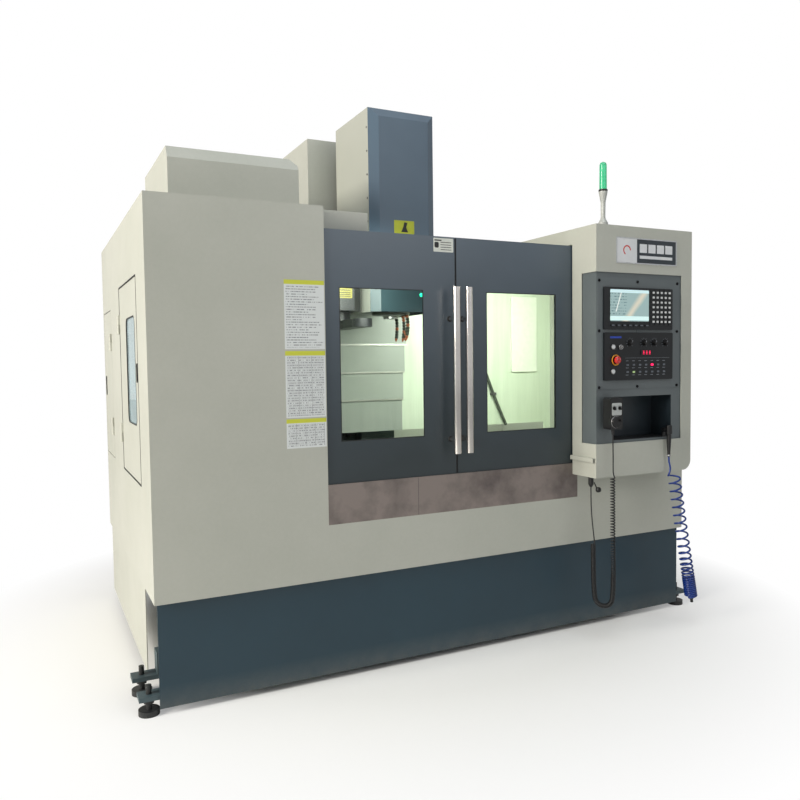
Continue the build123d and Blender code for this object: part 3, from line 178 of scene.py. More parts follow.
floor_size = 60.0
world = bpy.data.worlds.new("studio")
bpy.context.scene.world = world
world.use_nodes = True
world_tree = world.node_tree
world_shader = world_tree.nodes["Background"]
seen = Socket(world_tree).node("ShaderNodeLightPath", output="Is Camera Ray")
mirrored = Socket(world_tree).node("ShaderNodeLightPath", output="Is Glossy Ray")
clear_ray = Socket(world_tree).node("ShaderNodeLightPath", output="Is Transmission Ray")
sky_light, mirrored_share = 0.27, 0.35
backdrop = (seen + clear_ray + mirrored * mirrored_share).clamped()
backdrop_strength = backdrop * (1.0 - sky_light) + sky_light
world_tree.links.new(world_shader.inputs["Strength"], backdrop_strength.output)
world_shader.inputs["Color"].default_value = (1.0, 1.0, 1.0, 1.0)

floor_mesh = bpy.data.meshes.new("floor")
half_floor = floor_size / 2
floor_mesh.from_pydata(
    [
        (-half_floor, -half_floor, 0), (half_floor, -half_floor, 0), (half_floor, half_floor, 0),
        (-half_floor, half_floor, 0)
    ],
    [], [(0, 1, 2, 3)]
)
floor = bpy.data.objects.new("floor", floor_mesh)
bpy.context.scene.collection.objects.link(floor)
floor_finish, floor_shader, floor_place = new_finish("studio floor", (0.86, 0.86, 0.85, 1.0), 0.9)
feed(
    floor_shader, "Base Color",
    noise(floor_place, 0.6).mixed((0.85, 0.85, 0.84, 1.0), (0.89, 0.89, 0.88, 1.0))
)
shadow_reach, fade = 2.0, 1.2
shadow_lift = 0.5
from_middle = floor_place.node(
    "ShaderNodeVectorMath", {"operation": "LENGTH"}, {0: floor_place}, output="Value"
)
into_white = ((from_middle - shadow_reach) * (1 / fade) + shadow_lift).clamped()
white_floor = floor_place.node("ShaderNodeEmission", {}, {"Color": (1.0, 1.0, 1.0, 1.0), "Strength": 1.0})
floor_fades = into_white * floor_place.node("ShaderNodeLightPath", output="Is Camera Ray")
floor_surface = floor_place.node(
    "ShaderNodeMixShader", {},
    {0: floor_fades, 1: Socket(floor_finish.node_tree, floor_shader.outputs["BSDF"]), 2: white_floor}
)
floor_finish.node_tree.links.new(
    floor_finish.node_tree.nodes["Material Output"].inputs["Surface"], floor_surface.output
)
floor_mesh.materials.append(floor_finish)


def soft_lamp(name, place, aim, size, power, colour):
    """A square lamp that looks at a point."""
    light = bpy.data.lights.new(name, "AREA")
    light.energy = power
    light.size = size
    light.color = colour
    lamp = bpy.data.objects.new(name, light)
    bpy.context.scene.collection.objects.link(lamp)
    lamp.location = place
    lamp.rotation_euler = (Vector(aim) - Vector(place)).to_track_quat("-Z", "Y").to_euler()


soft_lamp("side_lamp", (-9.5, -1.9, 4.2), (-0.6, -0.2, 1.3), 3.6, 1130.0, (1.0, 0.95, 0.86))
soft_lamp("front_lamp", (2.2, -7.5, 4.6), (0.9, -1.0, 1.2), 3.5, 75.0, (1.0, 1.0, 1.0))
soft_lamp("top_lamp", (0.0, -2.5, 6.5), (0.0, -0.6, 1.4), 4.0, 100.0, (0.86, 0.95, 1.0))


# The hand pendant hangs on a curly cord of black polyurethane. It leaves the boot under the handset, is
# stretched by its own weight below the console, turns up in a bend and goes back to a socket underneath.
enclosure_left = -1.530
front_plane = -1.013
cord_thickness = 0.0065
curl_width = 0.028
handset_centre_x = enclosure_left + 2.308
cord_plane = front_plane - 0.234
pendant_exit = (handset_centre_x, cord_plane, 1.111)
curl_start = (handset_centre_x, cord_plane, 0.885)
curl_end = (enclosure_left + 2.246, front_plane - 0.152, 0.520)
curl_route = [
    curl_start, (handset_centre_x, cord_plane, 0.600),
    (enclosure_left + 2.311, front_plane - 0.239, 0.235),
    (enclosure_left + 2.295, front_plane - 0.217, 0.188),
    (enclosure_left + 2.263, front_plane - 0.175, 0.188),
    (enclosure_left + 2.246, front_plane - 0.152, 0.235), curl_end
]
tail_route = [
    (enclosure_left + 2.246, front_plane - 0.152, 0.590),
    (enclosure_left + 2.253, front_plane - 0.130, 0.680),
    (enclosure_left + 2.258, front_plane - 0.120, 0.755),
    (enclosure_left + 2.258, front_plane - 0.120, 0.822)
]


def spline_object(name, points, thickness, smooth=2, sides=3):
    """A cord as a curve of one open spline with a round section."""
    curve = bpy.data.curves.new(name, "CURVE")
    curve.dimensions = "3D"
    curve.bevel_depth = thickness / 2
    curve.bevel_resolution = sides
    curve.resolution_u = smooth
    curve.use_fill_caps = True
    spline = curve.splines.new("NURBS")
    spline.points.add(len(points) - 1)
    for point, place in zip(spline.points, points):
        point.co = (*place, 1.0)
    spline.order_u = 3
    spline.use_endpoint_u = True
    made = bpy.data.objects.new(name, curve)
    bpy.context.scene.collection.objects.link(made)
    return made


def route_points(points):
    """The points of a route's own smooth line."""
    guide = spline_object("guide", points, 0.0, smooth=24)
    guide.data.bevel_depth = 0.0
    bpy.context.view_layer.update()
    line = bpy.data.meshes.new_from_object(guide)
    places = [vertex.co.copy() for vertex in line.vertices]
    bpy.data.objects.remove(guide)
    bpy.data.meshes.remove(line)
    return places


def winding(points, radius, pitch_at, per_turn, start_turn):
    """Points of a helix along a line, with the pitch that a place on it calls for."""
    lengths = [0.0]
    for before, after in zip(points, points[1:]):
        lengths.append(lengths[-1] + (after - before).length)
    whole = lengths[-1]
    first_way = (points[1] - points[0]).normalized()
    side = first_way.cross(Vector((0.0, 1.0, 0.0))).normalized()
    turns, travelled, stretch = start_turn, 0.0, 0
    places = []
    while travelled < whole:
        while lengths[stretch + 1] < travelled and stretch < len(lengths) - 2:
            stretch += 1
        share = (travelled - lengths[stretch]) / (lengths[stretch + 1] - lengths[stretch])
        middle = points[stretch].lerp(points[stretch + 1], share)
        way = (points[stretch + 1] - points[stretch]).normalized()
        side = (side - way * side.dot(way)).normalized()
        across = way.cross(side)
        angle = 2 * pi * turns
        places.append(middle + side * radius * cos(angle) + across * radius * sin(angle))
        turns += 1 / per_turn
        travelled += pitch_at(travelled / whole) / per_turn
    return places


def line_length(points):
    return sum((Vector(after) - Vector(before)).length for before, after in zip(points, points[1:]))


def pendant_pitch(share):
    """Open turns where the cord's weight stretches it, close ones round the bend and up the far leg."""
    stretched = 0.0150
    closed = cord_thickness * 1.09
    if share < 0.33:
        return stretched
    if share > 0.52:
        return closed
    return stretched + (closed - stretched) * (share - 0.33) / 0.19


curl_radius = (curl_width - cord_thickness) / 2
curl_line = route_points(curl_route)
curl_points = winding(curl_line, curl_radius, pendant_pitch, 12, 0.0)
lead_bow = [
    pendant_exit, (handset_centre_x, cord_plane, 1.060),
    (handset_centre_x + 0.002, cord_plane - 0.001, 0.980), (handset_centre_x + 0.001, cord_plane, 0.910)
]
pendant_points = [Vector(p) for p in lead_bow] + curl_points + [Vector(p) for p in tail_route]
pendant_cord = spline_object("pendant_cord", pendant_points, cord_thickness)
line_length(route_points(pendant_points))
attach(pendant_cord, "frame")
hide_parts("pendant_lead", "pendant_coil", "pendant_tail")


def paint(red, green, blue):
    """A colour from its values as seen on a screen, 0 to 255."""
    linear = [((c / 255 + 0.055) / 1.055) ** 2.4 if c > 10 else c / 255 / 12.92 for c in (red, green, blue)]
    return (*linear, 1.0)


def relief(shader, height, strength, distance):
    """Raise a surface by a height pattern."""
    bump = height.node("ShaderNodeBump", {}, {"Strength": strength, "Distance": distance, "Height": height})
    feed(shader, "Normal", bump)


def grained(shader, place, clouds, gloss_spread, glossiest, grain, grain_height):
    """Gloss that follows the clouds of the colour, and the fine grain of sprayed paint."""
    feed(shader, "Roughness", clouds * gloss_spread + glossiest)
    relief(shader, noise(place, grain, 2.0), 0.25, grain_height)


def powder_coat(name, colour, worn, roughness, grain=900.0, grain_height=0.0004, patch=1.3, coat=0.0):
    """Sprayed paint on sheet steel: cloudy at arm's length, finely pebbled close to."""
    material, shader, place = new_finish(name, colour, roughness, coat=coat)
    clouds = noise(place, patch, 4.0, 0.6)
    specks = noise(place, 60.0, 4.0, 0.7)
    mask = (clouds * 0.75 + specks * 0.25 - 0.35) * 1.6
    feed(shader, "Base Color", mask.clamped().mixed(colour, worn))
    grained(shader, place, clouds, 0.16, roughness - 0.08, grain, grain_height)
    return material


rubber_black = powder_coat("cord rubber", paint(8, 9, 11), paint(20, 21, 24), 0.45, 1500.0, 0.0002, 8.0)
pendant_cord.data.materials.append(rubber_black)


# The air line is a coiled polyurethane hose. It hangs from an outlet in front of the shelf, its upper
# turns drawn open by the weight of the close ones at the bottom, and ends in a small fitting.
hose_thickness = 0.010
hose_coil_width = 0.072
outlet_exit = (enclosure_left + 2.728, front_plane - 0.216, 0.965)
hose_coil_route = [
    (enclosure_left + 2.750, front_plane - 0.232, 0.866),
    (enclosure_left + 2.786, front_plane - 0.238, 0.640),
    (enclosure_left + 2.830, front_plane - 0.245, 0.390),
    (enclosure_left + 2.870, front_plane - 0.249, 0.168)
]
hose_lead = [
    outlet_exit, (enclosure_left + 2.728, front_plane - 0.216, 0.932),
    (enclosure_left + 2.736, front_plane - 0.224, 0.905)
]


def hose_pitch(share):
    """Turns drawn wide open at the top, closing to touching at the bottom."""
    widest, middling, closed = 0.046, 0.029, hose_thickness * 1.08
    if share < 0.52:
        return widest
    if share < 0.74:
        return widest + (middling - widest) * (share - 0.52) / 0.22
    if share < 0.86:
        return middling + (closed - middling) * (share - 0.74) / 0.12
    return closed


hose_radius = (hose_coil_width - hose_thickness) / 2
hose_line = route_points(hose_coil_route)
hose_turns = winding(hose_line, hose_radius, hose_pitch, 14, 0.55)
hose_end_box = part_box("hose_end")
hose_end_top = (Vector(hose_end_box[0]) + Vector(hose_end_box[1])) / 2 + Vector((0, 0, 0.016))
hose_points = [Vector(p) for p in hose_lead] + hose_turns + [hose_end_top]
air_line = spline_object("air_line", hose_points, hose_thickness, sides=4)
line_length(route_points(hose_points))
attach(air_line, "frame")
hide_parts("air_hose", "air_hose_coil")
hose_blue = powder_coat(
    "blue hose", paint(0, 38, 112), paint(0, 54, 134), 0.32, 700.0, 0.0001, 9.0, coat=0.2
)
air_line.data.materials.append(hose_blue)


def round_edges(piece, width):
    """Round the edges that catch the light."""
    rounding = piece.modifiers.new("edge", "BEVEL")
    rounding.width = width
    rounding.segments = 2
    rounding.limit_method = "ANGLE"
    rounding.angle_limit = radians(40)


def dress(material, *names, edge=0.0):
    """Give solids of the construction their finish, and round the folds of a sheet."""
    for name in names:
        piece = node[name]
        piece.data.materials.clear()
        piece.data.materials.append(material)
        if edge:
            round_edges(piece, edge)


dress(rubber_black, "hose_end", "pendant_socket", "air_outlet")


# Enclosure: folded and welded sheet steel, powder coated a warm grey-white. Doors in the sides are of the
# same sheet, hung on loose-pin hinges, with black cup grips let into them.
cream = paint(180, 181, 172)
cream_shade = paint(160, 163, 152)
cream_paint = powder_coat("cream paint", cream, cream_shade, 0.46, 1100.0, 0.0003, coat=0.15)
dress(
    cream_paint, "left_cabinet", "right_cabinet", "front_band", "console_housing", "magazine_cover",
    "column_cover", "electrical_cabinet", "electrical_cabinet_door", "side_door_front",
    "side_door_rear", edge=0.0015
)


# Grips and window seals of the side doors: black nylon mouldings, pressed into cut-outs of the sheet and
# held by their own lips, so that no screw shows. A thin black strip round the front door's opening is
# painted shadow of the gap round the recessed door.
def mesh_piece(name, body, material, vertices, faces, smooth=False):
    """A piece from its corners and faces, on the body that carries it."""
    mesh = bpy.data.meshes.new(name)
    mesh.from_pydata([tuple(v) for v in vertices], [], faces)
    mesh.materials.append(material)
    if smooth:
        mesh.polygons.foreach_set("use_smooth", [True] * len(mesh.polygons))
    made = bpy.data.objects.new(name, mesh)
    bpy.context.scene.collection.objects.link(made)
    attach(made, body)
    return made


def rounded_outline(low, high, radius, steps=5):
    """Corners of a rectangle with round corners, in its own two directions."""
    outline = []
    for middle_u, middle_v, start in (
        (high[0] - radius, high[1] - radius, 0.0),
        (low[0] + radius, high[1] - radius, 0.5 * pi),
        (low[0] + radius, low[1] + radius, pi),
        (high[0] - radius, low[1] + radius, 1.5 * pi),
    ):
        for step in range(steps + 1):
            angle = start + 0.5 * pi * step / steps
            outline.append((middle_u + radius * cos(angle), middle_v + radius * sin(angle)))
    return outline


def oblong(left, bottom, right, top):
    """Corners of a rectangle."""
    return [(left, bottom), (right, bottom), (right, top), (left, top)]


def grown(low, high, by):
    """Two opposite corners of a rectangle, moved outwards."""
    return (low[0] - by, low[1] - by), (high[0] + by, high[1] + by)


def front_facing(u, v, depth):
    """A point of a front panel: u across, v up, depth along the machine's Y."""
    return (u, depth, v)


def side_facing(u, v, depth):
    """A point of a left side panel: u along Y, v up, depth along X."""
    return (depth, u, v)


def flat_sheets(name, body, material, outlines, outer, inner, place=front_facing, soften=0.0):
    """Thin plates of any outline, from an outer to an inner depth, as one piece."""
    vertices, faces = [], []
    for outline in outlines:
        first, count = len(vertices), len(outline)
        vertices += [place(u, v, outer) for u, v in outline] + [place(u, v, inner) for u, v in outline]
        faces.append([first + n for n in range(count)])
        faces.append([first + count + n for n in reversed(range(count))])
        for n in range(count):
            after = (n + 1) % count
            faces.append([first + after, first + n, first + count + n, first + count + after])
    made = mesh_piece(name, body, material, vertices, faces)
    tidy_normals(made)
    if soften:
        round_edges(made, soften)
    return made


def tidy_normals(made):
    shaped = bmesh.new()
    shaped.from_mesh(made.data)
    bmesh.ops.recalc_face_normals(shaped, faces=shaped.faces)
    shaped.to_mesh(made.data)
    shaped.free()


def frame_strip(name, body, slot, material, low, high, width, radius, outer, inner, place=front_facing):
    """A picture-frame strip round a window, from its outer edge inwards."""
    outside = rounded_outline(low, high, radius)
    inside = rounded_outline(*grown(low, high, -width), max(radius - width, 0.001))
    count = len(outside)
    rings = (
        [place(u, v, outer) for u, v in outside], [place(u, v, outer) for u, v in inside],
        [place(u, v, inner) for u, v in inside], [place(u, v, inner) for u, v in outside]
    )
    vertices = [v for ring in rings for v in ring]
    faces = []
    for ring in range(4):
        for n in range(count):
            after = (n + 1) % count
            here, there = ring * count, ((ring + 1) % 4) * count
            faces.append([here + n, here + after, there + after, there + n])
    made = mesh_piece(name, body, material, vertices, faces)
    tidy_normals(made)
    return made


def turned(name, body, material, profile, middle, way, sides=40):
    """A turned piece from its profile: pairs of radius and height along an axis."""
    to_axis = Vector(way).normalized().to_track_quat("Z", "Y").to_matrix()
    vertices, faces = [], []
    for radius, height in profile:
        for n in range(sides):
            angle = 2 * pi * n / sides
            offset = Vector((radius * cos(angle), radius * sin(angle), height))
            vertices.append(Vector(middle) + to_axis @ offset)
    for ring in range(len(profile) - 1):
        for n in range(sides):
            after = (n + 1) % sides
            faces.append([
                ring * sides + n, ring * sides + after, (ring + 1) * sides + after,
                (ring + 1) * sides + n
            ])
    faces.append(list(reversed(range(sides))))
    faces.append([(len(profile) - 1) * sides + n for n in range(sides)])
    made = mesh_piece(name, body, material, vertices, faces, smooth=True)
    made.data.polygons[-1].use_smooth = False
    made.data.polygons[-2].use_smooth = False
    tidy_normals(made)
    return made


moulded_black = powder_coat("moulded black", paint(9, 9, 11), paint(20, 20, 22), 0.5, 1600.0, 0.0002, 20.0)
side_plane = enclosure_left
grip_width = 0.004
for door_name, body, grip_low, grip_high in (
    ("front", "side_door_front_body", (front_plane + 0.312, 1.435), (front_plane + 0.344, 1.515)),
    ("rear", "side_door_rear_body", (front_plane + 1.790, 1.330), (front_plane + 1.836, 1.440)),
):
    frame_strip(
        f"{door_name}_grip_rim", body, "black_plastic", moulded_black,
        *grown(grip_low, grip_high, grip_width), grip_width * 2, 0.006, side_plane - 0.0015,
        side_plane + 0.010, side_facing
    )
    flat_sheets(
        f"{door_name}_grip_cup", body, moulded_black,
        [rounded_outline(grip_low, grip_high, 0.003)], side_plane + 0.0115, side_plane + 0.0138,
        side_facing
    )
for door_name, opening_low, opening_high in (
    ("front", (front_plane + 0.297, 0.962), (front_plane + 0.974, 1.915)),
    ("rear", (front_plane + 1.440, 0.962), (front_plane + 1.860, 1.835)),
):
    frame_strip(
        f"{door_name}_opening_seal", "frame", "black_plastic", moulded_black,
        *grown(opening_low, opening_high, 0.006), 0.0102, 0.006, side_plane + 0.0043,
        side_plane + 0.0073, side_facing
    )
    # The front opening gets a black strip as painted shadow of the gap round the recessed door.
    if door_name == "front":
        frame_strip(
            "front_opening_shadow_strip", "frame", "black_plastic", moulded_black,
            *grown(opening_low, opening_high, 0.005), 0.0052, 0.006, side_plane - 0.0012,
            side_plane + 0.001, side_facing
        )
side_window_low = (front_plane + 0.375, 1.230)
side_window_high = (front_plane + 0.700, 1.740)
seal_width = 0.0045
frame_strip(
    "side_window_seal", "side_door_front_body", "black_plastic", moulded_black,
    *grown(side_window_low, side_window_high, seal_width / 2), seal_width, 0.042, side_plane - 0.0012,
    side_plane + 0.0035, side_facing
)


# Base skirt: one folded steel sheet in slate paint, hooked on the bed and screwed from behind. It is
# clouded by wiping and dusty along the floor.
skirt_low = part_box("front_skirt")[0][2]
skirt_material, skirt_shader, skirt_place = new_finish(
    "slate base paint", paint(48, 67, 76), 0.45, coat=0.1
)
height = skirt_place.coordinate(2)
dust = (0.10 - (height - skirt_low)) * 5.0 * noise(skirt_place, 14.0, 5.0, 0.7)
skirt_clouds = noise(skirt_place, 1.1, 4.0, 0.6)
skirt_base = ((skirt_clouds - 0.4) * 2.5).clamped().mixed(paint(16, 50, 64), paint(12, 42, 55))
feed(skirt_shader, "Base Color", dust.mixed(skirt_base, paint(120, 120, 112)))
grained(skirt_shader, skirt_place, skirt_clouds, 0.2, 0.32, 900.0, 0.0003)
dress(skirt_material, "front_skirt", edge=0.0012)


# Sill: bare stainless sheet folded over the skirt under the doors, brushed lengthways and stained by
# coolant that ran over it. A joint shows where its two lengths meet.
def brushed_metal(name, colour, stain, roughness, along, stain_share=1.0, metallic=0.85):
    """Bare steel with fine lines from the abrasive belt, and the stains that coolant leaves."""
    material, shader, place = new_finish(name, colour, roughness, metallic=metallic)
    stretched = place.node("ShaderNodeMapping", {}, {"Vector": place, "Scale": along})
    lines = noise(stretched, 30.0, 4.0, 0.7)
    stains = (noise(place, 3.0, 5.0, 0.65) - 0.45) * 4.0 * stain_share
    feed(shader, "Base Color", stains.clamped().mixed(colour, stain))
    feed(shader, "Roughness", lines * 0.2 + (roughness - 0.1))
    relief(shader, lines, 0.15, 0.0004)
    return material


sill_steel = brushed_metal(
    "sill steel", paint(138, 128, 123), paint(96, 88, 86), 0.44, (2.0, 2.0, 60.0), metallic=0.55
)
dress(sill_steel, "stainless_sill", edge=0.001)
sill_joint_x = -0.262
flat_sheets(
    "sill_joint", "frame", moulded_black,
    [oblong(sill_joint_x, 0.752, sill_joint_x + 0.0012, 0.938)], front_plane - 0.0003,
    front_plane + 0.001
)


# Sliding doors: folded pans in slate paint with more gloss than the base. Their colour is painted dark at
# the bottom and light at the top, as painted shade below and painted reflection above. The polycarbonate
# pane is sealed behind the skin with a black strip, and each door has a polished tube handle on two posts.
door_low, door_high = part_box("left_door")
door_paint, door_shader, door_place = new_finish("slate door paint", paint(62, 71, 78), 0.34, coat=0.2)
door_up = door_place.coordinate(2)
# Painted light: the colour rises from painted shade at the bottom to a painted sheen at the top.
painted_shade_to_sheen = (door_up - door_low[2]) * (1 / (door_high[2] - door_low[2]))
door_clouds = noise(door_place, 1.0, 4.0, 0.6)
door_colour = (painted_shade_to_sheen * 0.9 + (door_clouds - 0.5) * 0.5).clamped().mixed(
    paint(38, 48, 52), paint(80, 92, 104)
)
feed(door_shader, "Base Color", door_colour)
grained(door_shader, door_place, door_clouds, 0.14, 0.28, 900.0, 0.0002)
dress(door_paint, "left_door", "right_door", edge=0.0015)
handle_tube = brushed_metal(
    "handle tube", paint(238, 234, 230), paint(208, 202, 198), 0.15, (60.0, 60.0, 1.0), 0.4,
    metallic=1.0
)
dress(handle_tube, "left_door_handle", "right_door_handle")
door_plane = front_plane + 0.008
window_low_z, window_high_z = 1.138, 1.863
for door_name, window_left, window_right in (("left", 0.866, 1.312), ("right", 1.679, 2.125)):
    window_low = (enclosure_left + window_left, window_low_z)
    window_high = (enclosure_left + window_right, window_high_z)
    frame_strip(
        f"{door_name}_window_seal", f"{door_name}_door_body", "black_plastic", moulded_black,
        *grown(window_low, window_high, 0.001), 0.005, 0.004, door_plane + 0.0002, door_plane + 0.003
    )
handle_x = {"left": enclosure_left + 1.461, "right": enclosure_left + 1.533}
for door_name, x in handle_x.items():
    for post_number, post_z in enumerate((1.118, 1.723)):
        turned(
            f"{door_name}_post_collar_{post_number + 1}", f"{door_name}_door_body",
            moulded_black, [(0.0150, 0.0), (0.0150, 0.003), (0.0135, 0.005), (0.0104, 0.005)],
            (x, door_plane, post_z), (0, -1, 0)
        )

seal_half = 0.0032
for door_name, edge_x in (("left", -0.0345), ("right", -0.0315)):
    reach = seal_half if door_name == "right" else -seal_half
    flat_sheets(
        f"{door_name}_meeting_seal", f"{door_name}_door_body", moulded_black,
        [oblong(edge_x, 0.944, edge_x + reach, 2.125)], door_plane - 0.0006, door_plane + 0.001
    )

pane_finish, pane_shader, pane_place = new_finish("window pane", (0.93, 0.97, 0.94, 1.0), 0.03)
pane_shader.inputs["Transmission Weight"].default_value = 1.0
pane_shader.inputs["IOR"].default_value = 1.12
smear = noise(pane_place, 5.0, 5.0, 0.6)
feed(pane_shader, "Roughness", smear * 0.05)
dress(pane_finish, "left_door_glass", "right_door_glass")
side_pane, side_pane_shader, side_pane_place = new_finish("side pane", paint(206, 226, 232), 0.05)
side_pane_shader.inputs["Transmission Weight"].default_value = 0.6
side_pane_shader.inputs["IOR"].default_value = 1.3
feed(side_pane_shader, "Roughness", noise(side_pane_place, 6.0, 4.0) * 0.06 + 0.02)
dress(side_pane, "side_door_glass")


# A small paper notice at the top of the left door and three on the cabinet beside it: plain fields of
# colour with ruled grey rows, and nothing to read.
notice_left, notice_right = enclosure_left + 0.597, enclosure_left + 0.789
row_height = 0.0115


def notice_paper(name, low, high, header_height, columns, table):
    """White paper with a yellow header bar over rows of grey marks, ruled as a table or left open."""
    material, shader, place = new_finish(name, (0.75, 0.75, 0.73, 1.0), 0.55)
    across = place.coordinate(0)
    up = place.coordinate(2)
    row = (up * (1 / row_height)).math("FRACT")
    row_number = (up * (1 / row_height)).math("FLOOR")
    broken = place.node("ShaderNodeCombineXYZ", {}, {0: across * 260.0, 1: row_number * 7.3})
    marks = (noise(broken, 1.0, 1.0) > 0.47) * (row > 0.35) * (row < 0.72)
    column = ((across - notice_left) * columns).math("FRACT")
    ruled = (row < 0.07).either(column < 0.0012 * columns)
    inside = (up > low + 0.008) * (up < high - header_height - 0.003)
    inside = inside * (across > notice_left + 0.008) * (across < notice_right - 0.008)
    if table:
        ink = (marks * 0.75).either(ruled * 0.8) * inside
    else:
        row_end = noise(place.node("ShaderNodeCombineXYZ", {}, {0: row_number * 3.7}), 1.0, 0.0) * 0.30
        ink = marks * (across - notice_left < row_end) * inside * 0.75
    inked = ink.mixed(paint(212, 216, 216), paint(80, 84, 90))
    header = (up > high - header_height) * (up < high)
    feed(shader, "Base Color", header.mixed(inked, paint(196, 200, 62)))
    feed(shader, "Roughness", noise(place, 30.0) * 0.1 + 0.5)
    return material


for number, (low, high, header_height, columns) in enumerate(
    ((1.574, 1.888, 0.020, 5.2), (1.262, 1.566, 0.021, 16.0), (1.122, 1.256, 0.019, 22.0))
):
    paper = notice_paper(f"notice paper {number + 1}", low, high, header_height, columns, number > 0)
    flat_sheets(
        f"notice_{number + 1}", "frame", paper,
        [oblong(notice_left, low, notice_right, high)], front_plane - 0.0004, front_plane
    )
tag_paper = powder_coat("tag paper", paint(214, 216, 208), paint(190, 196, 190), 0.5, 900.0, 0.0001, 40.0)
flat_sheets(
    "door_tag", "left_door_body", tag_paper,
    [rounded_outline((-0.158, 2.054), (-0.045, 2.122), 0.004)], door_plane - 0.0004, door_plane
)
tag_marks = [((-0.152, 2.074), (-0.128, 2.102), 0.006), ((-0.152, 2.108), (-0.112, 2.114), 0.001)]
tag_marks += [((-0.118, z), (-0.056, z + 0.003), 0.001) for z in (2.064, 2.076, 2.088, 2.100)]
flat_sheets(
    "door_tag_marks", "left_door_body", moulded_black,
    [rounded_outline(low, high, radius, 2) for low, high, radius in tag_marks], door_plane - 0.0007,
    door_plane - 0.0003
)


# Electrical cabinet door: three quarter-turn locks of plated steel, turned with a square key and held by
# a nut behind the sheet, and a yellow foil triangle that carries no sign.
cabinet_low, cabinet_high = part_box("electrical_cabinet_door")
lock_steel = brushed_metal(
    "lock steel", paint(160, 160, 160), paint(110, 110, 108), 0.3, (20.0, 20.0, 20.0), 0.5
)
lock_x = cabinet_low[0] + 0.045
cabinet_back = cabinet_high[1]
for number, z in enumerate((0.92, 1.30, 1.68)):
    turned(
        f"cabinet_lock_{number + 1}", "electric_door", lock_steel,
        [
            (0.0165, 0.0), (0.0165, 0.003), (0.0145, 0.0055), (0.0080, 0.0055), (0.0072, 0.0030),
            (0.0020, 0.0030)
        ],
        (lock_x, cabinet_back - 0.0005, z), (0, 1, 0), 40
    )
triangle_yellow = powder_coat(
    "triangle yellow", paint(196, 180, 40), paint(176, 160, 34), 0.45, 1500.0, 0.0001, 30.0
)
sign_x, sign_z = (cabinet_low[0] + cabinet_high[0]) / 2, 1.45
for sign_name, reach, sign_paint, lift in (
    ("cabinet_sign_border", 0.062, moulded_black, 0.0004),
    ("cabinet_sign_field", 0.050, triangle_yellow, 0.0008),
):
    flat_sheets(
        sign_name, "electric_door", sign_paint,
        [[
            (sign_x + reach * sin(turn), sign_z + reach * cos(turn))
            for turn in (0, 2 * pi / 3, 4 * pi / 3)
        ]],
        cabinet_back + lift, cabinet_back - 0.0002
    )


# Spindle head cover: a tall hood of folded sheet, screwed to the head down its sides. Sides and top are
# cream, front and chamfers slate, and the front is darker along its lower part.
hood_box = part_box("head_cover")
hood_middle = (hood_box[0][0] + hood_box[1][0]) / 2
hood_half = (hood_box[1][0] - hood_box[0][0]) / 2
hood_material, hood_shader, hood_place = new_finish("hood paint", cream, 0.4, coat=0.15)
hood_across = hood_place.coordinate(0)
hood_back = hood_place.coordinate(1)
hood_up = hood_place.coordinate(2)
off_middle = (hood_across - hood_middle).math("ABSOLUTE")
side_start = front_plane + 0.602
on_side = (hood_back > side_start) * (off_middle > hood_half - 0.0006)
on_top = hood_up > hood_box[1][2] - 0.0006
hood_clouds = noise(hood_place, 0.9, 4.0, 0.6)
# The front is painted darker below this height.
darker_below_height = 2.010
lower_front_darkening = ((darker_below_height - hood_up) * 9.0 + hood_clouds * 0.3).clamped()
slate_front_base = hood_clouds.mixed(paint(86, 108, 126), paint(58, 74, 90))
slate_front = lower_front_darkening.mixed(slate_front_base, paint(44, 64, 70))
cream_side = hood_clouds.mixed(cream, cream_shade)
feed(hood_shader, "Base Color", on_side.either(on_top).mixed(slate_front, cream_side))
grained(hood_shader, hood_place, hood_clouds, 0.15, 0.33, 900.0, 0.0002)
dress(hood_material, "head_cover", edge=0.0015)
screw_steel = brushed_metal(
    "screw steel", paint(120, 120, 120), paint(70, 70, 70), 0.35, (30.0, 30.0, 30.0)
)
for screw_number in range(5):
    turned(
        f"hood_screw_{screw_number + 1}", "head_body", screw_steel,
        [(0.0060, 0.0), (0.0060, 0.0018), (0.0042, 0.0034), (0.0018, 0.0038)],
        (hood_middle - hood_half, front_plane + 0.618, 2.30 + screw_number * 0.13), (-1, 0, 0), 20
    )


# Machine inside: castings in dark grey-green paint, a table and spindle of ground steel, black drives,
# and splash walls and way cover plates of painted sheet. A steel wiper is riveted along each plate's
# lower edge.
spindle_x, spindle_y = -0.033, front_plane + 0.765
cast_paint = powder_coat("casting paint", paint(70, 84, 82), paint(56, 68, 66), 0.45, 500.0, 0.0006, 2.0)
dress(cast_paint, "column")
plate_grey, plate_grey_worn = paint(170, 176, 166), paint(140, 148, 138)
head_paint, head_shader, head_place = new_finish("headstock paint", paint(70, 84, 82), 0.42)
head_back_to = head_place.coordinate(1)
head_clouds = noise(head_place, 2.0, 4.0, 0.6)
plate_spacing = 0.009
plate_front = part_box("z_cover_upper")[0][1] - plate_spacing - 0.0005
on_head_plate = (head_back_to > plate_front) * (head_back_to < plate_front + plate_spacing)
head_cast = head_clouds.mixed(paint(74, 88, 86), paint(52, 64, 62))
feed(
    head_shader, "Base Color",
    on_head_plate.mixed(head_cast, head_clouds.mixed(plate_grey, plate_grey_worn))
)
grained(head_shader, head_place, head_clouds, 0.2, 0.3, 500.0, 0.0004)
dress(head_paint, "headstock")
base_paint = powder_coat(
    "base casting paint", paint(66, 84, 90), paint(48, 58, 60), 0.5, 400.0, 0.0008, 4.0
)
dress(base_paint, "machine_bed", "saddle")
foot_black = powder_coat("foot black", paint(30, 32, 34), paint(52, 52, 50), 0.5, 500.0, 0.0005, 14.0)
dress(foot_black, "levelling_feet", edge=0.001)
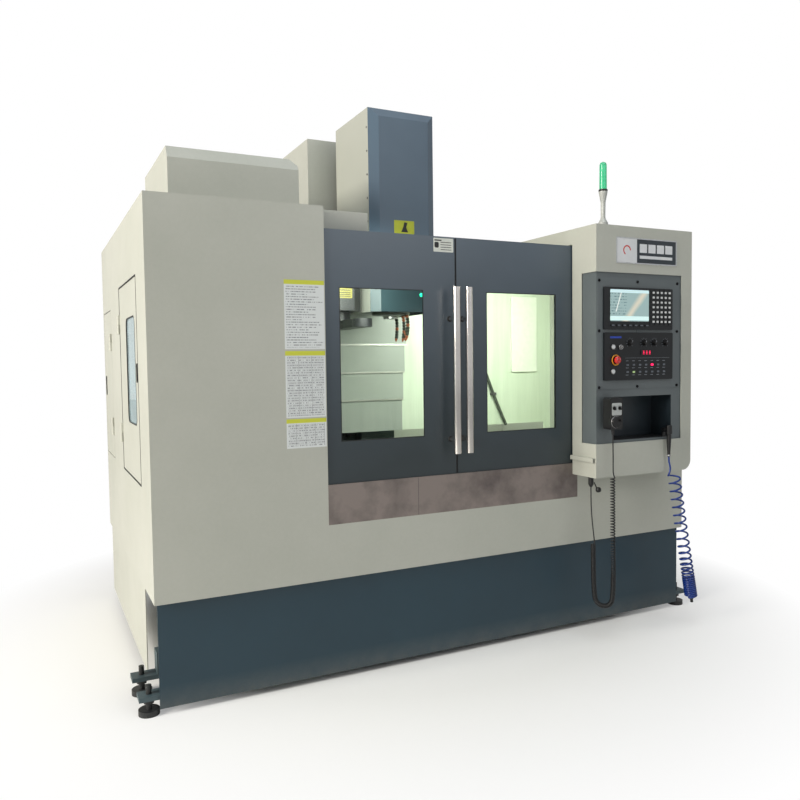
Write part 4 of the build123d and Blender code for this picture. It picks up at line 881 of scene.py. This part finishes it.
black_paint = powder_coat("black paint", paint(20, 22, 24), paint(34, 36, 38), 0.42, 700.0, 0.0003, 5.0)
dress(black_paint, "magazine_disc", "axis_drives", "tool_changer_gearbox", "change_arm")
ground_steel = brushed_metal(
    "ground steel", paint(176, 178, 174), paint(128, 128, 122), 0.32, (4.0, 60.0, 4.0)
)
dress(ground_steel, "table", "spindle")
guard_paint, guard_shader, guard_place = new_finish("splash wall paint", paint(214, 224, 202), 0.4)
guard_across = guard_place.coordinate(0)
guard_back = guard_place.coordinate(1)
guard_up = guard_place.coordinate(2)
guard_clouds = noise(guard_place, 1.5, 4.0, 0.6)
drips = guard_place.node("ShaderNodeMapping", {}, {"Vector": guard_place, "Scale": (14.0, 14.0, 0.8)})
runs = (noise(drips, 1.0, 4.0, 0.7) - 0.5) * 1.6
wall_colour = (guard_clouds * 0.6 + runs).clamped().mixed(paint(214, 224, 202), paint(190, 202, 178))
plate_colour = (guard_clouds + runs * 0.5).clamped().mixed(plate_grey, plate_grey_worn)
plate_middle, plate_reach, plate_top_z = -0.033, 0.318, 1.400
off_plate = (guard_across - plate_middle).math("ABSOLUTE")
on_plate = (off_plate < plate_reach) * (guard_up < plate_top_z) * (guard_back > 0.0)
feed(guard_shader, "Base Color", on_plate.mixed(wall_colour, plate_colour))
grained(guard_shader, guard_place, guard_clouds, 0.2, 0.3, 900.0, 0.0003)
dress(guard_paint, "splash_guard")
plate_paint = powder_coat("way cover plate", plate_grey, plate_grey_worn, 0.36, 700.0, 0.0002, 3.0)
dress(plate_paint, "z_cover_upper", "z_cover_lower")
wiper = brushed_metal(
    "wiper strip", paint(206, 206, 196), paint(150, 150, 140), 0.3, (1.0, 40.0, 40.0), 0.6, 0.6
)
for number, (plate_node, plate_body, plate_low, plate_half) in enumerate(
    (
        ("headstock", "head_body", 1.620, 0.340),
        ("z_cover_upper", "plate_upper_body", 1.437, 0.332),
        ("z_cover_lower", "plate_lower_body", 1.254, 0.324),
    )
):
    strip_face = plate_front + 0.0005 + number * plate_spacing
    flat_sheets(
        f"{plate_node}_wiper", plate_body, wiper,
        [oblong(spindle_x - plate_half, plate_low, spindle_x + plate_half, plate_low + 0.010)],
        strip_face - 0.0012, strip_face + 0.0005
    )


# Coolant hoses: push-fit plastic ball segments with orange tips, snapped into a ring round the spindle
# nose and bent by hand towards the tool.
hose_black = powder_coat("hose black", paint(52, 62, 54), paint(84, 82, 66), 0.4, 900.0, 0.0002, 20.0)
hose_orange = powder_coat("hose orange", paint(176, 98, 62), paint(140, 84, 56), 0.4, 900.0, 0.0002, 20.0)
ring_low = 1.787
turned(
    "coolant_ring", "head_body", hose_black,
    [(0.0855, 0.0), (0.1105, 0.0), (0.1120, 0.004), (0.1120, 0.039), (0.1105, 0.043), (0.0855, 0.043)],
    (spindle_x, spindle_y, ring_low), (0, 0, 1), 64
)


def coolant_hose(number, bearing, lean_out, curl):
    """A chain of ball segments that leaves the ring straight down and bends back under the tool."""
    outward = Vector((cos(radians(bearing)), sin(radians(bearing)), 0.0))
    place = Vector((spindle_x, spindle_y, ring_low)) + outward * 0.098
    tilt = radians(lean_out)
    segment = 0.0185
    links = 9
    ball = [
        (0.0060, 0.0), (0.0102, 0.002), (0.0114, 0.006), (0.0104, 0.011), (0.0072, 0.016),
        (0.0066, segment)
    ]
    tip = [(0.0068, 0.0), (0.0094, 0.003), (0.0048, 0.013), (0.0030, segment)]
    for n in range(links):
        way = Vector((0, 0, -1)) * cos(tilt) + outward * sin(tilt)
        orange = n in (0, links - 1) or (n + number) % 4 == 0
        turned(
            f"coolant_hose_{number}_{n + 1}", "head_body",
            hose_orange if orange else hose_black, tip if n == links - 1 else ball, place, way, 16
        )
        place = place + way * segment * 0.95
        tilt -= radians(curl)


hose_bends = ((-44, 14, 4.4), (-16, 10, 5.0), (16, 14, 4.0), (44, 16, 5.2))
for hose_number, (bearing, lean_out, curl) in enumerate(hose_bends):
    coolant_hose(hose_number + 1, bearing, lean_out, curl)
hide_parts("coolant_nozzles")


# Wash-down hose: ribbed black rubber that runs down the rear wall, where two stainless clips screwed to
# the sheet hold it.
hose_line_y = front_plane + 1.252
wash_route = [
    (0.780, hose_line_y, 1.700), (0.860, hose_line_y, 1.600), (0.942, hose_line_y, 1.440),
    (1.010, hose_line_y, 1.270), (1.085, hose_line_y, 1.110), (1.118, hose_line_y, 1.045)
]
wash_hose = spline_object("wash_hose", wash_route, 0.022)
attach(wash_hose, "frame")
wash_rubber, wash_shader, wash_place = new_finish("wash hose rubber", paint(58, 66, 58), 0.5)
ribs_up = wash_place.coordinate(2)
wash_ribs = (ribs_up * 700.0).math("SINE")
feed(wash_shader, "Base Color", noise(wash_place, 25.0).mixed(paint(52, 60, 52), paint(86, 94, 80)))
relief(wash_shader, wash_ribs, 0.6, 0.001)
wash_hose.data.materials.append(wash_rubber)
for clip_number, (x, z) in enumerate(((0.860, 1.596), (1.010, 1.272))):
    flat_sheets(
        f"hose_clip_{clip_number + 1}", "frame", screw_steel,
        [rounded_outline((x - 0.020, z - 0.010), (x + 0.020, z + 0.010), 0.004)], hose_line_y - 0.0125,
        hose_line_y + 0.0145, soften=0.002
    )


# Lights inside: a flat work lamp with a frosted plastic lens on the rear wall, and a small green ready
# lamp screwed to the front of the hood. Three soft lamps stand for the tubes under the roof.
def glowing(name, colour, strength):
    """A lit plastic lens, mottled a little darker in patches."""
    material, shader, place = new_finish(name, colour, 0.35)
    patch = noise(place, 30.0)
    feed(shader, "Base Color", patch.mixed(colour, tuple(c * 0.8 for c in colour[:3]) + (1.0,)))
    shader.inputs["Emission Color"].default_value = colour
    shader.inputs["Emission Strength"].default_value = strength
    return material


work_glow = glowing("work lamp", (0.80, 0.84, 0.70, 1.0), 0.10)
rear_wall = front_plane + 1.267
flat_sheets(
    "work_lamp", "frame", work_glow,
    [rounded_outline((1.170, 1.425), (1.392, 1.970), 0.01)], rear_wall - 0.018, rear_wall, soften=0.002
)
ready_green = glowing("ready lamp", (0.02, 0.85, 0.45, 1.0), 1.2)
turned(
    "ready_lamp", "head_body", ready_green,
    [(0.011, 0.0), (0.011, 0.004), (0.008, 0.008), (0.003, 0.010)], (0.067, hood_box[0][1], 1.893),
    (0, -1, 0), 24
)
tube_white = (0.94, 1.0, 0.90)
soft_lamp("inside_lamp_right", (0.75, -0.55, 1.90), (0.9, 0.3, 1.25), 0.55, 15.5, tube_white)
soft_lamp("inside_lamp_left", (-0.45, -0.75, 1.95), (-0.5, 0.3, 1.2), 0.45, 9.5, tube_white)
soft_lamp("rear_space_lamp", (0.95, 0.44, 1.85), (0.95, 0.88, 1.15), 0.35, 11.0, tube_white)


# Operator console: a grey powder-coated panel sunk in the housing, with a raised plate on socket screws,
# a shelf recess, and bezels of black plastic for the screen and of black aluminium for the controls.
console_grey, panel_shader, panel_place = new_finish("console grey", paint(96, 104, 105), 0.38, coat=0.15)
panel_back = panel_place.coordinate(1)
panel_across = panel_place.coordinate(0)
panel_clouds = noise(panel_place, 2.4, 4.0, 0.6)
recess_start, recess_left, recess_right = front_plane - 0.182, 0.820, 1.255
in_recess = (panel_back > recess_start) * (panel_across > recess_left) * (panel_across < recess_right)
panel_grey = panel_clouds.mixed(paint(100, 106, 108), paint(80, 89, 92))
# Painted shade: the walls of the shelf recess are a much darker grey than the panel.
recess_painted_shade = panel_clouds.mixed(paint(40, 52, 60), paint(26, 34, 40))
feed(panel_shader, "Base Color", in_recess.mixed(panel_grey, recess_painted_shade))
grained(panel_shader, panel_place, panel_clouds, 0.16, 0.3, 1200.0, 0.0002)
dress(console_grey, "console_panel", edge=0.0008)
bezel_black = powder_coat("bezel black", paint(8, 12, 16), paint(18, 23, 28), 0.34, 1500.0, 0.0001, 12.0)
dress(bezel_black, "display_module", "operator_panel", edge=0.0006)
display_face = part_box("display_module")[0][1]
plate_face = front_plane - 0.187
screw_black = brushed_metal("screw black", paint(24, 24, 28), paint(12, 12, 14), 0.35, (30.0, 30.0, 30.0))
for screw_number, (x, z) in enumerate(
    [(x, z) for x in (0.724, 0.991, 1.283) for z in (1.925, 1.361)] + [(x, 1.660) for x in (0.724, 1.283)]
):
    turned(
        f"plate_screw_{screw_number + 1}", "frame", screw_black,
        [(0.0078, 0.0), (0.0078, 0.0035), (0.0068, 0.0046), (0.0036, 0.0046), (0.0034, 0.0030)],
        (x, plate_face, z), (0, -1, 0), 24
    )


# Screen: a lit colour panel under glossy acrylic, clipped into its bezel from behind, with painted streaks
# of reflected window light across it. Its rows of grey marks spell nothing.
screen_low, screen_high = (0.792, 1.712), (1.062, 1.880)
screen_material, screen_shader, screen_place = new_finish(
    "lit screen", paint(150, 180, 180), 0.06, coat=1.0
)
screen_x = screen_place.coordinate(0)
screen_z = screen_place.coordinate(2)
screen_wide = screen_high[0] - screen_low[0]
screen_tall = screen_high[1] - screen_low[1]
across_screen = (screen_x - screen_low[0]) * (1 / screen_wide)
up_screen = (screen_z - screen_low[1]) * (1 / screen_tall)
text_rows = 11.0
status_bar = (up_screen < 0.16) * (up_screen > 0.03)
title_bar = up_screen > 0.90
rows = (up_screen * text_rows).math("FRACT")
row_number = (up_screen * text_rows).math("FLOOR")
row_text = screen_place.node("ShaderNodeCombineXYZ", {}, {0: across_screen * 40.0, 1: row_number * 3.7})
row_marks = (noise(row_text, 1.0, 1.0) > 0.5) * (rows > 0.35) * (rows < 0.7) * (across_screen < 0.42)
# Painted reflections of window light: a broad streak and a thin line, in the screen's colour and glow.
streak = across_screen - up_screen * 0.55 - 0.30 + noise(screen_place, 9.0, 3.0) * 0.12
painted_reflection_streak = (streak * 9.0).clamped() * ((0.27 - streak) * 9.0).clamped()
thin_streak = across_screen - up_screen * 0.22 - 0.06
painted_reflection_line = (thin_streak > 0.0) * (thin_streak < 0.03) * (up_screen > 0.3)
picture = row_marks.mixed(paint(142, 168, 168), paint(92, 118, 122))
for mask, colour in (
    (painted_reflection_streak * 0.75, paint(214, 204, 182)),
    (painted_reflection_line * 0.7, paint(232, 236, 230)),
    (title_bar, paint(196, 224, 228)),
    (status_bar, paint(206, 236, 234)),
):
    picture = mask.mixed(picture, colour)
feed(screen_shader, "Base Color", picture)
feed(screen_shader, "Emission Color", picture)
screen_shader.inputs["Emission Strength"].default_value = 0.45
feed(screen_shader, "Roughness", noise(screen_place, 12.0) * 0.08 + 0.03)
screen_depth = display_face + 0.0006
flat_sheets(
    "screen_glass", "frame", screen_material,
    [rounded_outline(screen_low, screen_high, 0.004)], screen_depth, screen_depth + 0.0022
)


# Key caps: pale squares moulded in one with the keys beside the screen, and darker, smaller ones in the
# row below it. None of them has a legend.
cap_plastic = powder_coat(
    "key caps", paint(214, 216, 216), paint(176, 180, 184), 0.38, 1500.0, 0.0001, 60.0
)
key_columns, key_rows = 5, 7
key_low, key_high = (1.082, 1.702), (1.222, 1.878)
cap_half = (0.0074, 0.0056)
column_step = (key_high[0] - key_low[0] - 0.022) / (key_columns - 1)
row_step = (key_high[1] - key_low[1] - 0.018) / (key_rows - 1)
caps = [
    rounded_outline((x - cap_half[0], z - cap_half[1]), (x + cap_half[0], z + cap_half[1]), 0.002, 2)
    for x in (key_low[0] + 0.011 + column_step * n for n in range(key_columns))
    for z in (key_low[1] + 0.009 + row_step * n for n in range(key_rows))
]
key_face = display_face - 0.003
flat_sheets(
    "key_caps", "frame", cap_plastic, caps, key_face - 0.0012, key_face, soften=0.0004
)
soft_caps = [
    rounded_outline((x - 0.009, 1.687), (x + 0.009, 1.693), 0.002, 2)
    for x in (0.807 + 0.040 * n for n in range(7))
]
dim_caps = powder_coat("soft key caps", paint(96, 102, 110), paint(76, 80, 88), 0.4, 1500.0, 0.0001, 60.0)
flat_sheets("soft_key_caps", "frame", dim_caps, soft_caps, key_face - 0.0008, key_face)


# Legends of the operator panel: printed marks, a blue name field left empty, key windows with small lamps
# behind them, and a row of lit red bars.
operator_face = plate_face - 0.012
print_white = powder_coat(
    "panel print", paint(150, 156, 164), paint(116, 122, 130), 0.45, 1500.0, 0.0001, 50.0
)
knob_x = (0.928, 1.028, 1.101, 1.183)
knob_z = 1.597
button_x = [0.910 + 0.044 * n for n in range(7)]


def spoke(middle, angle, inner, outer, half_width):
    """Corners of a short mark that points away from a middle."""
    out = Vector((cos(angle), sin(angle)))
    side = Vector((-sin(angle), cos(angle))) * half_width
    ends = ((inner, -1), (outer, -1), (outer, 1), (inner, 1))
    return [Vector(middle) + out * reach + side * way for reach, way in ends]


def ring_patch(middle, inner, outer, start, end):
    """Corners of a piece of a ring."""
    corners = ((inner, start), (outer, start), (outer, end), (inner, end))
    return [(middle[0] + radius * cos(angle), middle[1] + radius * sin(angle)) for radius, angle in corners]


marks = [
    spoke((x, knob_z), radians(225 - n * 33.75), 0.0207, 0.0263, 0.0007)
    for x in knob_x
    for n in range(9)
]
for z in (1.462, 1.424, 1.500):
    marks += [oblong(x - 0.010, z - 0.0011, x + 0.008, z + 0.0011) for x in button_x]
marks.append(oblong(0.895, 1.515, 1.215, 1.5158))
flat_sheets(
    "panel_print", "frame", print_white, marks, operator_face - 0.0003, operator_face
)
blue_print = powder_coat("blue field", paint(38, 66, 168), paint(30, 54, 140), 0.4, 1500.0, 0.0001, 50.0)
flat_sheets(
    "panel_blue_field", "frame", blue_print,
    [rounded_outline((0.790, 1.621), (0.868, 1.631), 0.002, 2)], operator_face - 0.0003, operator_face
)
button_face = operator_face - 0.002
button_windows = [
    rounded_outline((x - 0.0085, z - 0.005), (x + 0.0085, z + 0.005), 0.0015, 2)
    for z in (1.478, 1.440)
    for x in button_x
]
lit_green, lit_red = button_windows.pop(8), button_windows.pop(4)
flat_sheets(
    "button_windows", "frame", dim_caps, button_windows, button_face - 0.0005,
    button_face
)
flat_sheets(
    "button_lamp_green", "frame", glowing("button green", paint(150, 176, 120), 0.5),
    [lit_green], button_face - 0.0005, button_face
)
lamp_red = glowing("lamp red", paint(255, 24, 84), 2.6)
flat_sheets(
    "button_lamp_red", "frame", lamp_red, [lit_red], button_face - 0.0005, button_face
)
digit_face = operator_face - 0.003
digit_bars = []
for x in (1.018, 1.040, 1.062):
    for z in (1.5365, 1.5440, 1.5515):
        digit_bars.append([
            (x, z - 0.001), (x + 0.010, z - 0.001), (x + 0.011, z + 0.001), (x + 0.001, z + 0.001)
        ])
flat_sheets("digit_bars", "frame", lamp_red, digit_bars, digit_face - 0.0004, digit_face)


# Emergency stop: a red moulded mushroom over a yellow collar ring, held by a nut behind the panel, with
# the turn arrows raised on its crown.
stop_red = powder_coat(
    "stop red", paint(196, 28, 26), paint(168, 20, 20), 0.32, 1500.0, 0.0001, 30.0, coat=0.4
)
dress(stop_red, "e_stop", edge=0.0012)
collar_yellow = powder_coat(
    "collar yellow", paint(216, 150, 30), paint(190, 124, 24), 0.4, 1500.0, 0.0001, 40.0
)
stop_middle = (0.827, operator_face - 0.003, 1.505)
turned(
    "e_stop_collar", "frame", collar_yellow,
    [(0.0290, -0.0005), (0.0290, 0.0010), (0.0278, 0.0016), (0.0225, 0.0016), (0.0225, -0.0005)],
    stop_middle, (0, -1, 0), 48
)
stop_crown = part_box("e_stop")[0][1]
crown_arrows = [
    ring_patch((stop_middle[0], stop_middle[2]), 0.0095, 0.0115, radians(start), radians(start + 16))
    for start in (turn + step for turn in (0, 120, 240) for step in (0, 16, 32, 48))
]
flat_sheets(
    "e_stop_arrows", "e_stop_body", print_white, crown_arrows, stop_crown - 0.0003,
    stop_crown + 0.004
)


# Push buttons: white translucent caps in plated bezels, each held by a nut behind the panel. The key
# switch is of plated brass and held the same way.
button_white = powder_coat(
    "button white", paint(206, 208, 210), paint(186, 190, 194), 0.28, 1500.0, 0.0001, 50.0, coat=0.5
)
dress(button_white, "start_button", "stop_button", edge=0.0008)
plated = brushed_metal("plated", paint(170, 170, 172), paint(120, 118, 116), 0.25, (20.0, 20.0, 20.0), 0.5)
dress(plated, "key_switch", edge=0.0004)
for bezel_name, x, z in (("start", 0.809, 1.575), ("halt", 0.808, 1.444), ("key", 0.861, 1.574)):
    turned(
        f"{bezel_name}_bezel", "frame", plated,
        [(0.0138, 0.0), (0.0138, 0.0010), (0.0128, 0.0018), (0.0112, 0.0018), (0.0112, -0.002)],
        (x, operator_face - 0.004, z), (0, -1, 0), 36
    )


# Selector knobs: black phenolic, ribbed at the rim and set on their shafts with a grub screw, each with a
# printed white pointer line.
knob_black = powder_coat("knob black", paint(8, 8, 10), paint(18, 18, 20), 0.42, 1500.0, 0.0001, 40.0)
for number, x in enumerate(knob_x):
    knob = f"knob_{number + 1}"
    dress(knob_black, knob, edge=0.0005)
    knob_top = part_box(knob)[0][1]
    flat_sheets(
        f"{knob}_pointer", f"{knob}_body", print_white,
        [oblong(x - 0.0009, knob_z + 0.002, x + 0.0009, knob_z + 0.0125)], knob_top - 0.0003,
        knob_top + 0.002
    )


# Hand pendant: a cast black body with a pale engraved faceplate, two pointer knobs and a handwheel whose
# face is divided round its rim.
handset_black = powder_coat(
    "handset black", paint(10, 11, 13), paint(22, 23, 26), 0.5, 1100.0, 0.0004, 20.0
)
dress(handset_black, "handset", edge=0.002)
dress(knob_black, "handwheel", "axis_selector", "rate_selector", edge=0.0006)
handset_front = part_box("handset")[0][1]
wheel_x, wheel_z = 0.772, 1.181
face_grey = powder_coat(
    "faceplate grey", paint(186, 190, 188), paint(160, 164, 164), 0.35, 1300.0, 0.0001, 30.0
)
flat_sheets(
    "handset_faceplate", "frame", face_grey,
    [rounded_outline((0.745, 1.216), (0.811, 1.281), 0.006)], handset_front - 0.0008,
    handset_front + 0.001, soften=0.0003
)
wheel_face = handset_front - 0.01305
dial_outer = 0.0264
dial_marks = []
for n in range(50):
    inner = dial_outer - (0.0036 if n % 5 == 0 else 0.0020)
    dial_marks.append(spoke((wheel_x, wheel_z), 2 * pi * n / 50, inner, dial_outer, 0.0003))
flat_sheets(
    "wheel_marks", "handwheel_body", print_white, dial_marks, wheel_face - 0.0002,
    wheel_face + 0.0005
)
turned(
    "wheel_bezel", "frame", plated,
    [(0.0303, 0.0), (0.0303, 0.0040), (0.0316, 0.0044), (0.0326, 0.0034), (0.0328, 0.0)],
    (wheel_x, handset_front, wheel_z), (0, -1, 0), 64
)
for selector, x in (("axis_selector", 0.759), ("rate_selector", 0.796)):
    selector_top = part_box(selector)[0][1]
    flat_sheets(
        f"{selector}_pointer", f"{selector}_body", print_white,
        [oblong(x - 0.0007, 1.255, x + 0.0007, 1.2625)], selector_top - 0.0003, selector_top + 0.002
    )
    ticks = [spoke((x, 1.254), radians(150 - n * 30), 0.0125, 0.0155, 0.0005) for n in range(5)]
    flat_sheets(
        f"{selector}_scale", "frame", handset_black, ticks, handset_front - 0.0011,
        handset_front - 0.0008
    )


# Name plate: a bright anodised frame glued to the housing, with a white third and a dark field. Both are
# left without lettering: plain bars and a red ring are all that is printed on them.
housing_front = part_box("console_housing")[0][1]
plate_frame = brushed_metal(
    "plate frame", paint(206, 208, 210), paint(180, 182, 186), 0.28, (1.0, 60.0, 60.0), 0.3
)
plate_white = powder_coat(
    "plate white", paint(216, 218, 220), paint(196, 198, 202), 0.3, 1500.0, 0.0001, 14.0, coat=0.3
)
plate_dark = powder_coat(
    "plate dark", paint(22, 34, 42), paint(34, 48, 58), 0.25, 1500.0, 0.0001, 14.0, coat=0.4
)
name_low, name_high = (0.835, 2.020), (1.270, 2.158)
name_split = 0.980
rim = 0.006
frame_strip(
    "name_plate_rim", "frame", "stainless", plate_frame, name_low, name_high, rim, 0.004,
    housing_front - 0.0035, housing_front
)
flat_sheets(
    "name_plate_white", "frame", plate_white,
    [oblong(name_low[0] + rim, name_low[1] + rim, name_split, name_high[1] - rim)],
    housing_front - 0.0022, housing_front
)
flat_sheets(
    "name_plate_dark", "frame", plate_dark,
    [oblong(name_split, name_low[1] + rim, name_high[0] - rim, name_high[1] - rim)],
    housing_front - 0.0022, housing_front
)
plate_bars = [
    oblong(low, 2.082, high, 2.128)
    for low, high in ((1.000, 1.052), (1.062, 1.114), (1.124, 1.176), (1.186, 1.238))
]
plate_bars.append(oblong(1.000, 2.050, 1.238, 2.066))
flat_sheets(
    "name_plate_bars", "frame", plate_white, plate_bars, housing_front - 0.0026,
    housing_front - 0.0021
)
name_ring = [ring_patch((0.910, 2.090), 0.020, 0.027, 0.30 * n, 0.30 * n + 0.30) for n in range(14)]
flat_sheets(
    "name_plate_swirl", "frame", stop_red, name_ring, housing_front - 0.0026,
    housing_front - 0.0021
)


# Signal lamp: a green ribbed polycarbonate lens between two dark rubber rings, screwed on a pale moulded
# stem with a flared foot.
stem_grey = powder_coat("stem grey", paint(176, 178, 174), paint(150, 152, 148), 0.36, 1300.0, 0.0001, 9.0)
dress(stem_grey, "lamp_base")
lens_green, lens_shader, lens_place = new_finish("lens green", paint(40, 190, 120), 0.15, coat=0.6)
lens_shader.inputs["Transmission Weight"].default_value = 0.55
lens_shader.inputs["Emission Strength"].default_value = 0.30
lens_up = lens_place.coordinate(2)
ribs = ((lens_up * 900.0).math("SINE") * 0.5 + 0.5).clamped()
feed(lens_shader, "Base Color", ribs.mixed(paint(70, 205, 160), paint(30, 160, 96)))
feed(lens_shader, "Emission Color", ribs.mixed(paint(60, 190, 150), paint(20, 130, 80)))
relief(lens_shader, (lens_up * 900.0).math("SINE"), 0.5, 0.0008)
dress(lens_green, "lamp_lens")
lamp_x, lamp_y = 0.828, -1.113
lens_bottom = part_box("lamp_lens")[0][2]
turned(
    "lamp_ring_low", "frame", rubber_black,
    [(0.0200, -0.002), (0.0238, -0.002), (0.0242, 0.002), (0.0238, 0.007), (0.0206, 0.009)],
    (lamp_x, lamp_y, lens_bottom), (0, 0, 1), 40
)
turned(
    "lamp_foot_ring", "frame", rubber_black,
    [(0.0280, 0.0), (0.0290, 0.003), (0.0285, 0.008), (0.0260, 0.010)],
    (lamp_x, lamp_y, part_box("lamp_base")[0][2]), (0, 0, 1), 40
)


# Air outlet: a white plastic ferrule pushed on a tapered black sleeve, and a plated steel clamp that
# holds the blue hose in it.
outlet_x, outlet_y = enclosure_left + 2.728, front_plane - 0.216
ferrule = powder_coat(
    "ferrule white", paint(200, 202, 200), paint(170, 172, 170), 0.4, 1500.0, 0.0001, 40.0
)
turned(
    "outlet_ferrule", "frame", ferrule,
    [(0.0120, 0.0), (0.0142, 0.002), (0.0146, 0.012), (0.0146, 0.030), (0.0130, 0.034)],
    (outlet_x, outlet_y, 1.104), (0, 0, 1), 36
)
turned(
    "outlet_clamp", "frame", plated,
    [(0.0085, 0.0), (0.0100, 0.001), (0.0102, 0.007), (0.0090, 0.009)], (outlet_x, outlet_y, 0.968),
    (0, 0, 1), 32
)


# Dust cap of the pendant's socket: black rubber, hanging open beside the socket on the strap that is
# moulded with it.
turned(
    "socket_cap", "frame", rubber_black,
    [(0.0060, 0.0), (0.0120, 0.002), (0.0146, 0.008), (0.0146, 0.016), (0.0120, 0.022), (0.0060, 0.024)],
    (0.7560, -1.1450, 0.8050), (0.3, -1, 0.2), 32
)
flat_sheets(
    "socket_cap_strap", "frame", rubber_black,
    [[(0.735, 0.846), (0.741, 0.849), (0.761, 0.812), (0.755, 0.809)]], -1.1480, -1.1465
)


# Shelf floor: a thin black sheet on the floor of the recess, as painted shade in it. The shelf is
# otherwise left empty.
# Painted shade: a black sheet darkens the floor of the shelf recess.
flat_sheets(
    "shelf_shade_sheet", "frame", rubber_black,
    [rounded_outline((0.834, 1.0745), (1.239, 1.0775), 0.001, 2)], front_plane - 0.176,
    front_plane - 0.044
)


# Yellow warning fields: foil labels stuck on the front of the hood and on the tool changer's gearbox,
# both with dark shapes and no lettering. The gearbox label inside the machine is a darker yellow: painted
# shade.
label_yellow = powder_coat(
    "label yellow", paint(182, 188, 44), paint(160, 166, 40), 0.45, 1500.0, 0.0001, 40.0
)
# Painted shade: the gearbox label's yellow is darkened for the dimmer light inside the machine.
shaded_label_yellow = powder_coat("shaded label yellow", paint(126, 118, 40), paint(92, 88, 36), 0.4, 1500.0, 0.0001, 40.0)
hood_front = hood_box[0][1]
gearbox_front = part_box("tool_changer_gearbox")[0][1]
flat_sheets(
    "gearbox_label", "frame", shaded_label_yellow,
    [rounded_outline((-0.472, 1.868), (-0.342, 1.925), 0.003)], gearbox_front - 0.0005, gearbox_front
)
flat_sheets(
    "gearbox_label_marks", "frame", handset_black,
    [oblong(-0.462, z, -0.352, z + 0.004) for z in (1.876, 1.886, 1.896, 1.910)],
    gearbox_front - 0.0008, gearbox_front - 0.0004
)
flat_sheets(
    "hood_label", "head_body", label_yellow,
    [rounded_outline((-0.100, 2.236), (0.027, 2.309), 0.003)], hood_front - 0.0005, hood_front
)
flat_sheets(
    "hood_label_mark", "head_body", handset_black,
    [[
        (-0.056, 2.244), (-0.012, 2.244), (-0.024, 2.272), (-0.016, 2.298), (-0.036, 2.300),
        (-0.042, 2.276)
    ]],
    hood_front - 0.0008, hood_front - 0.0004
)
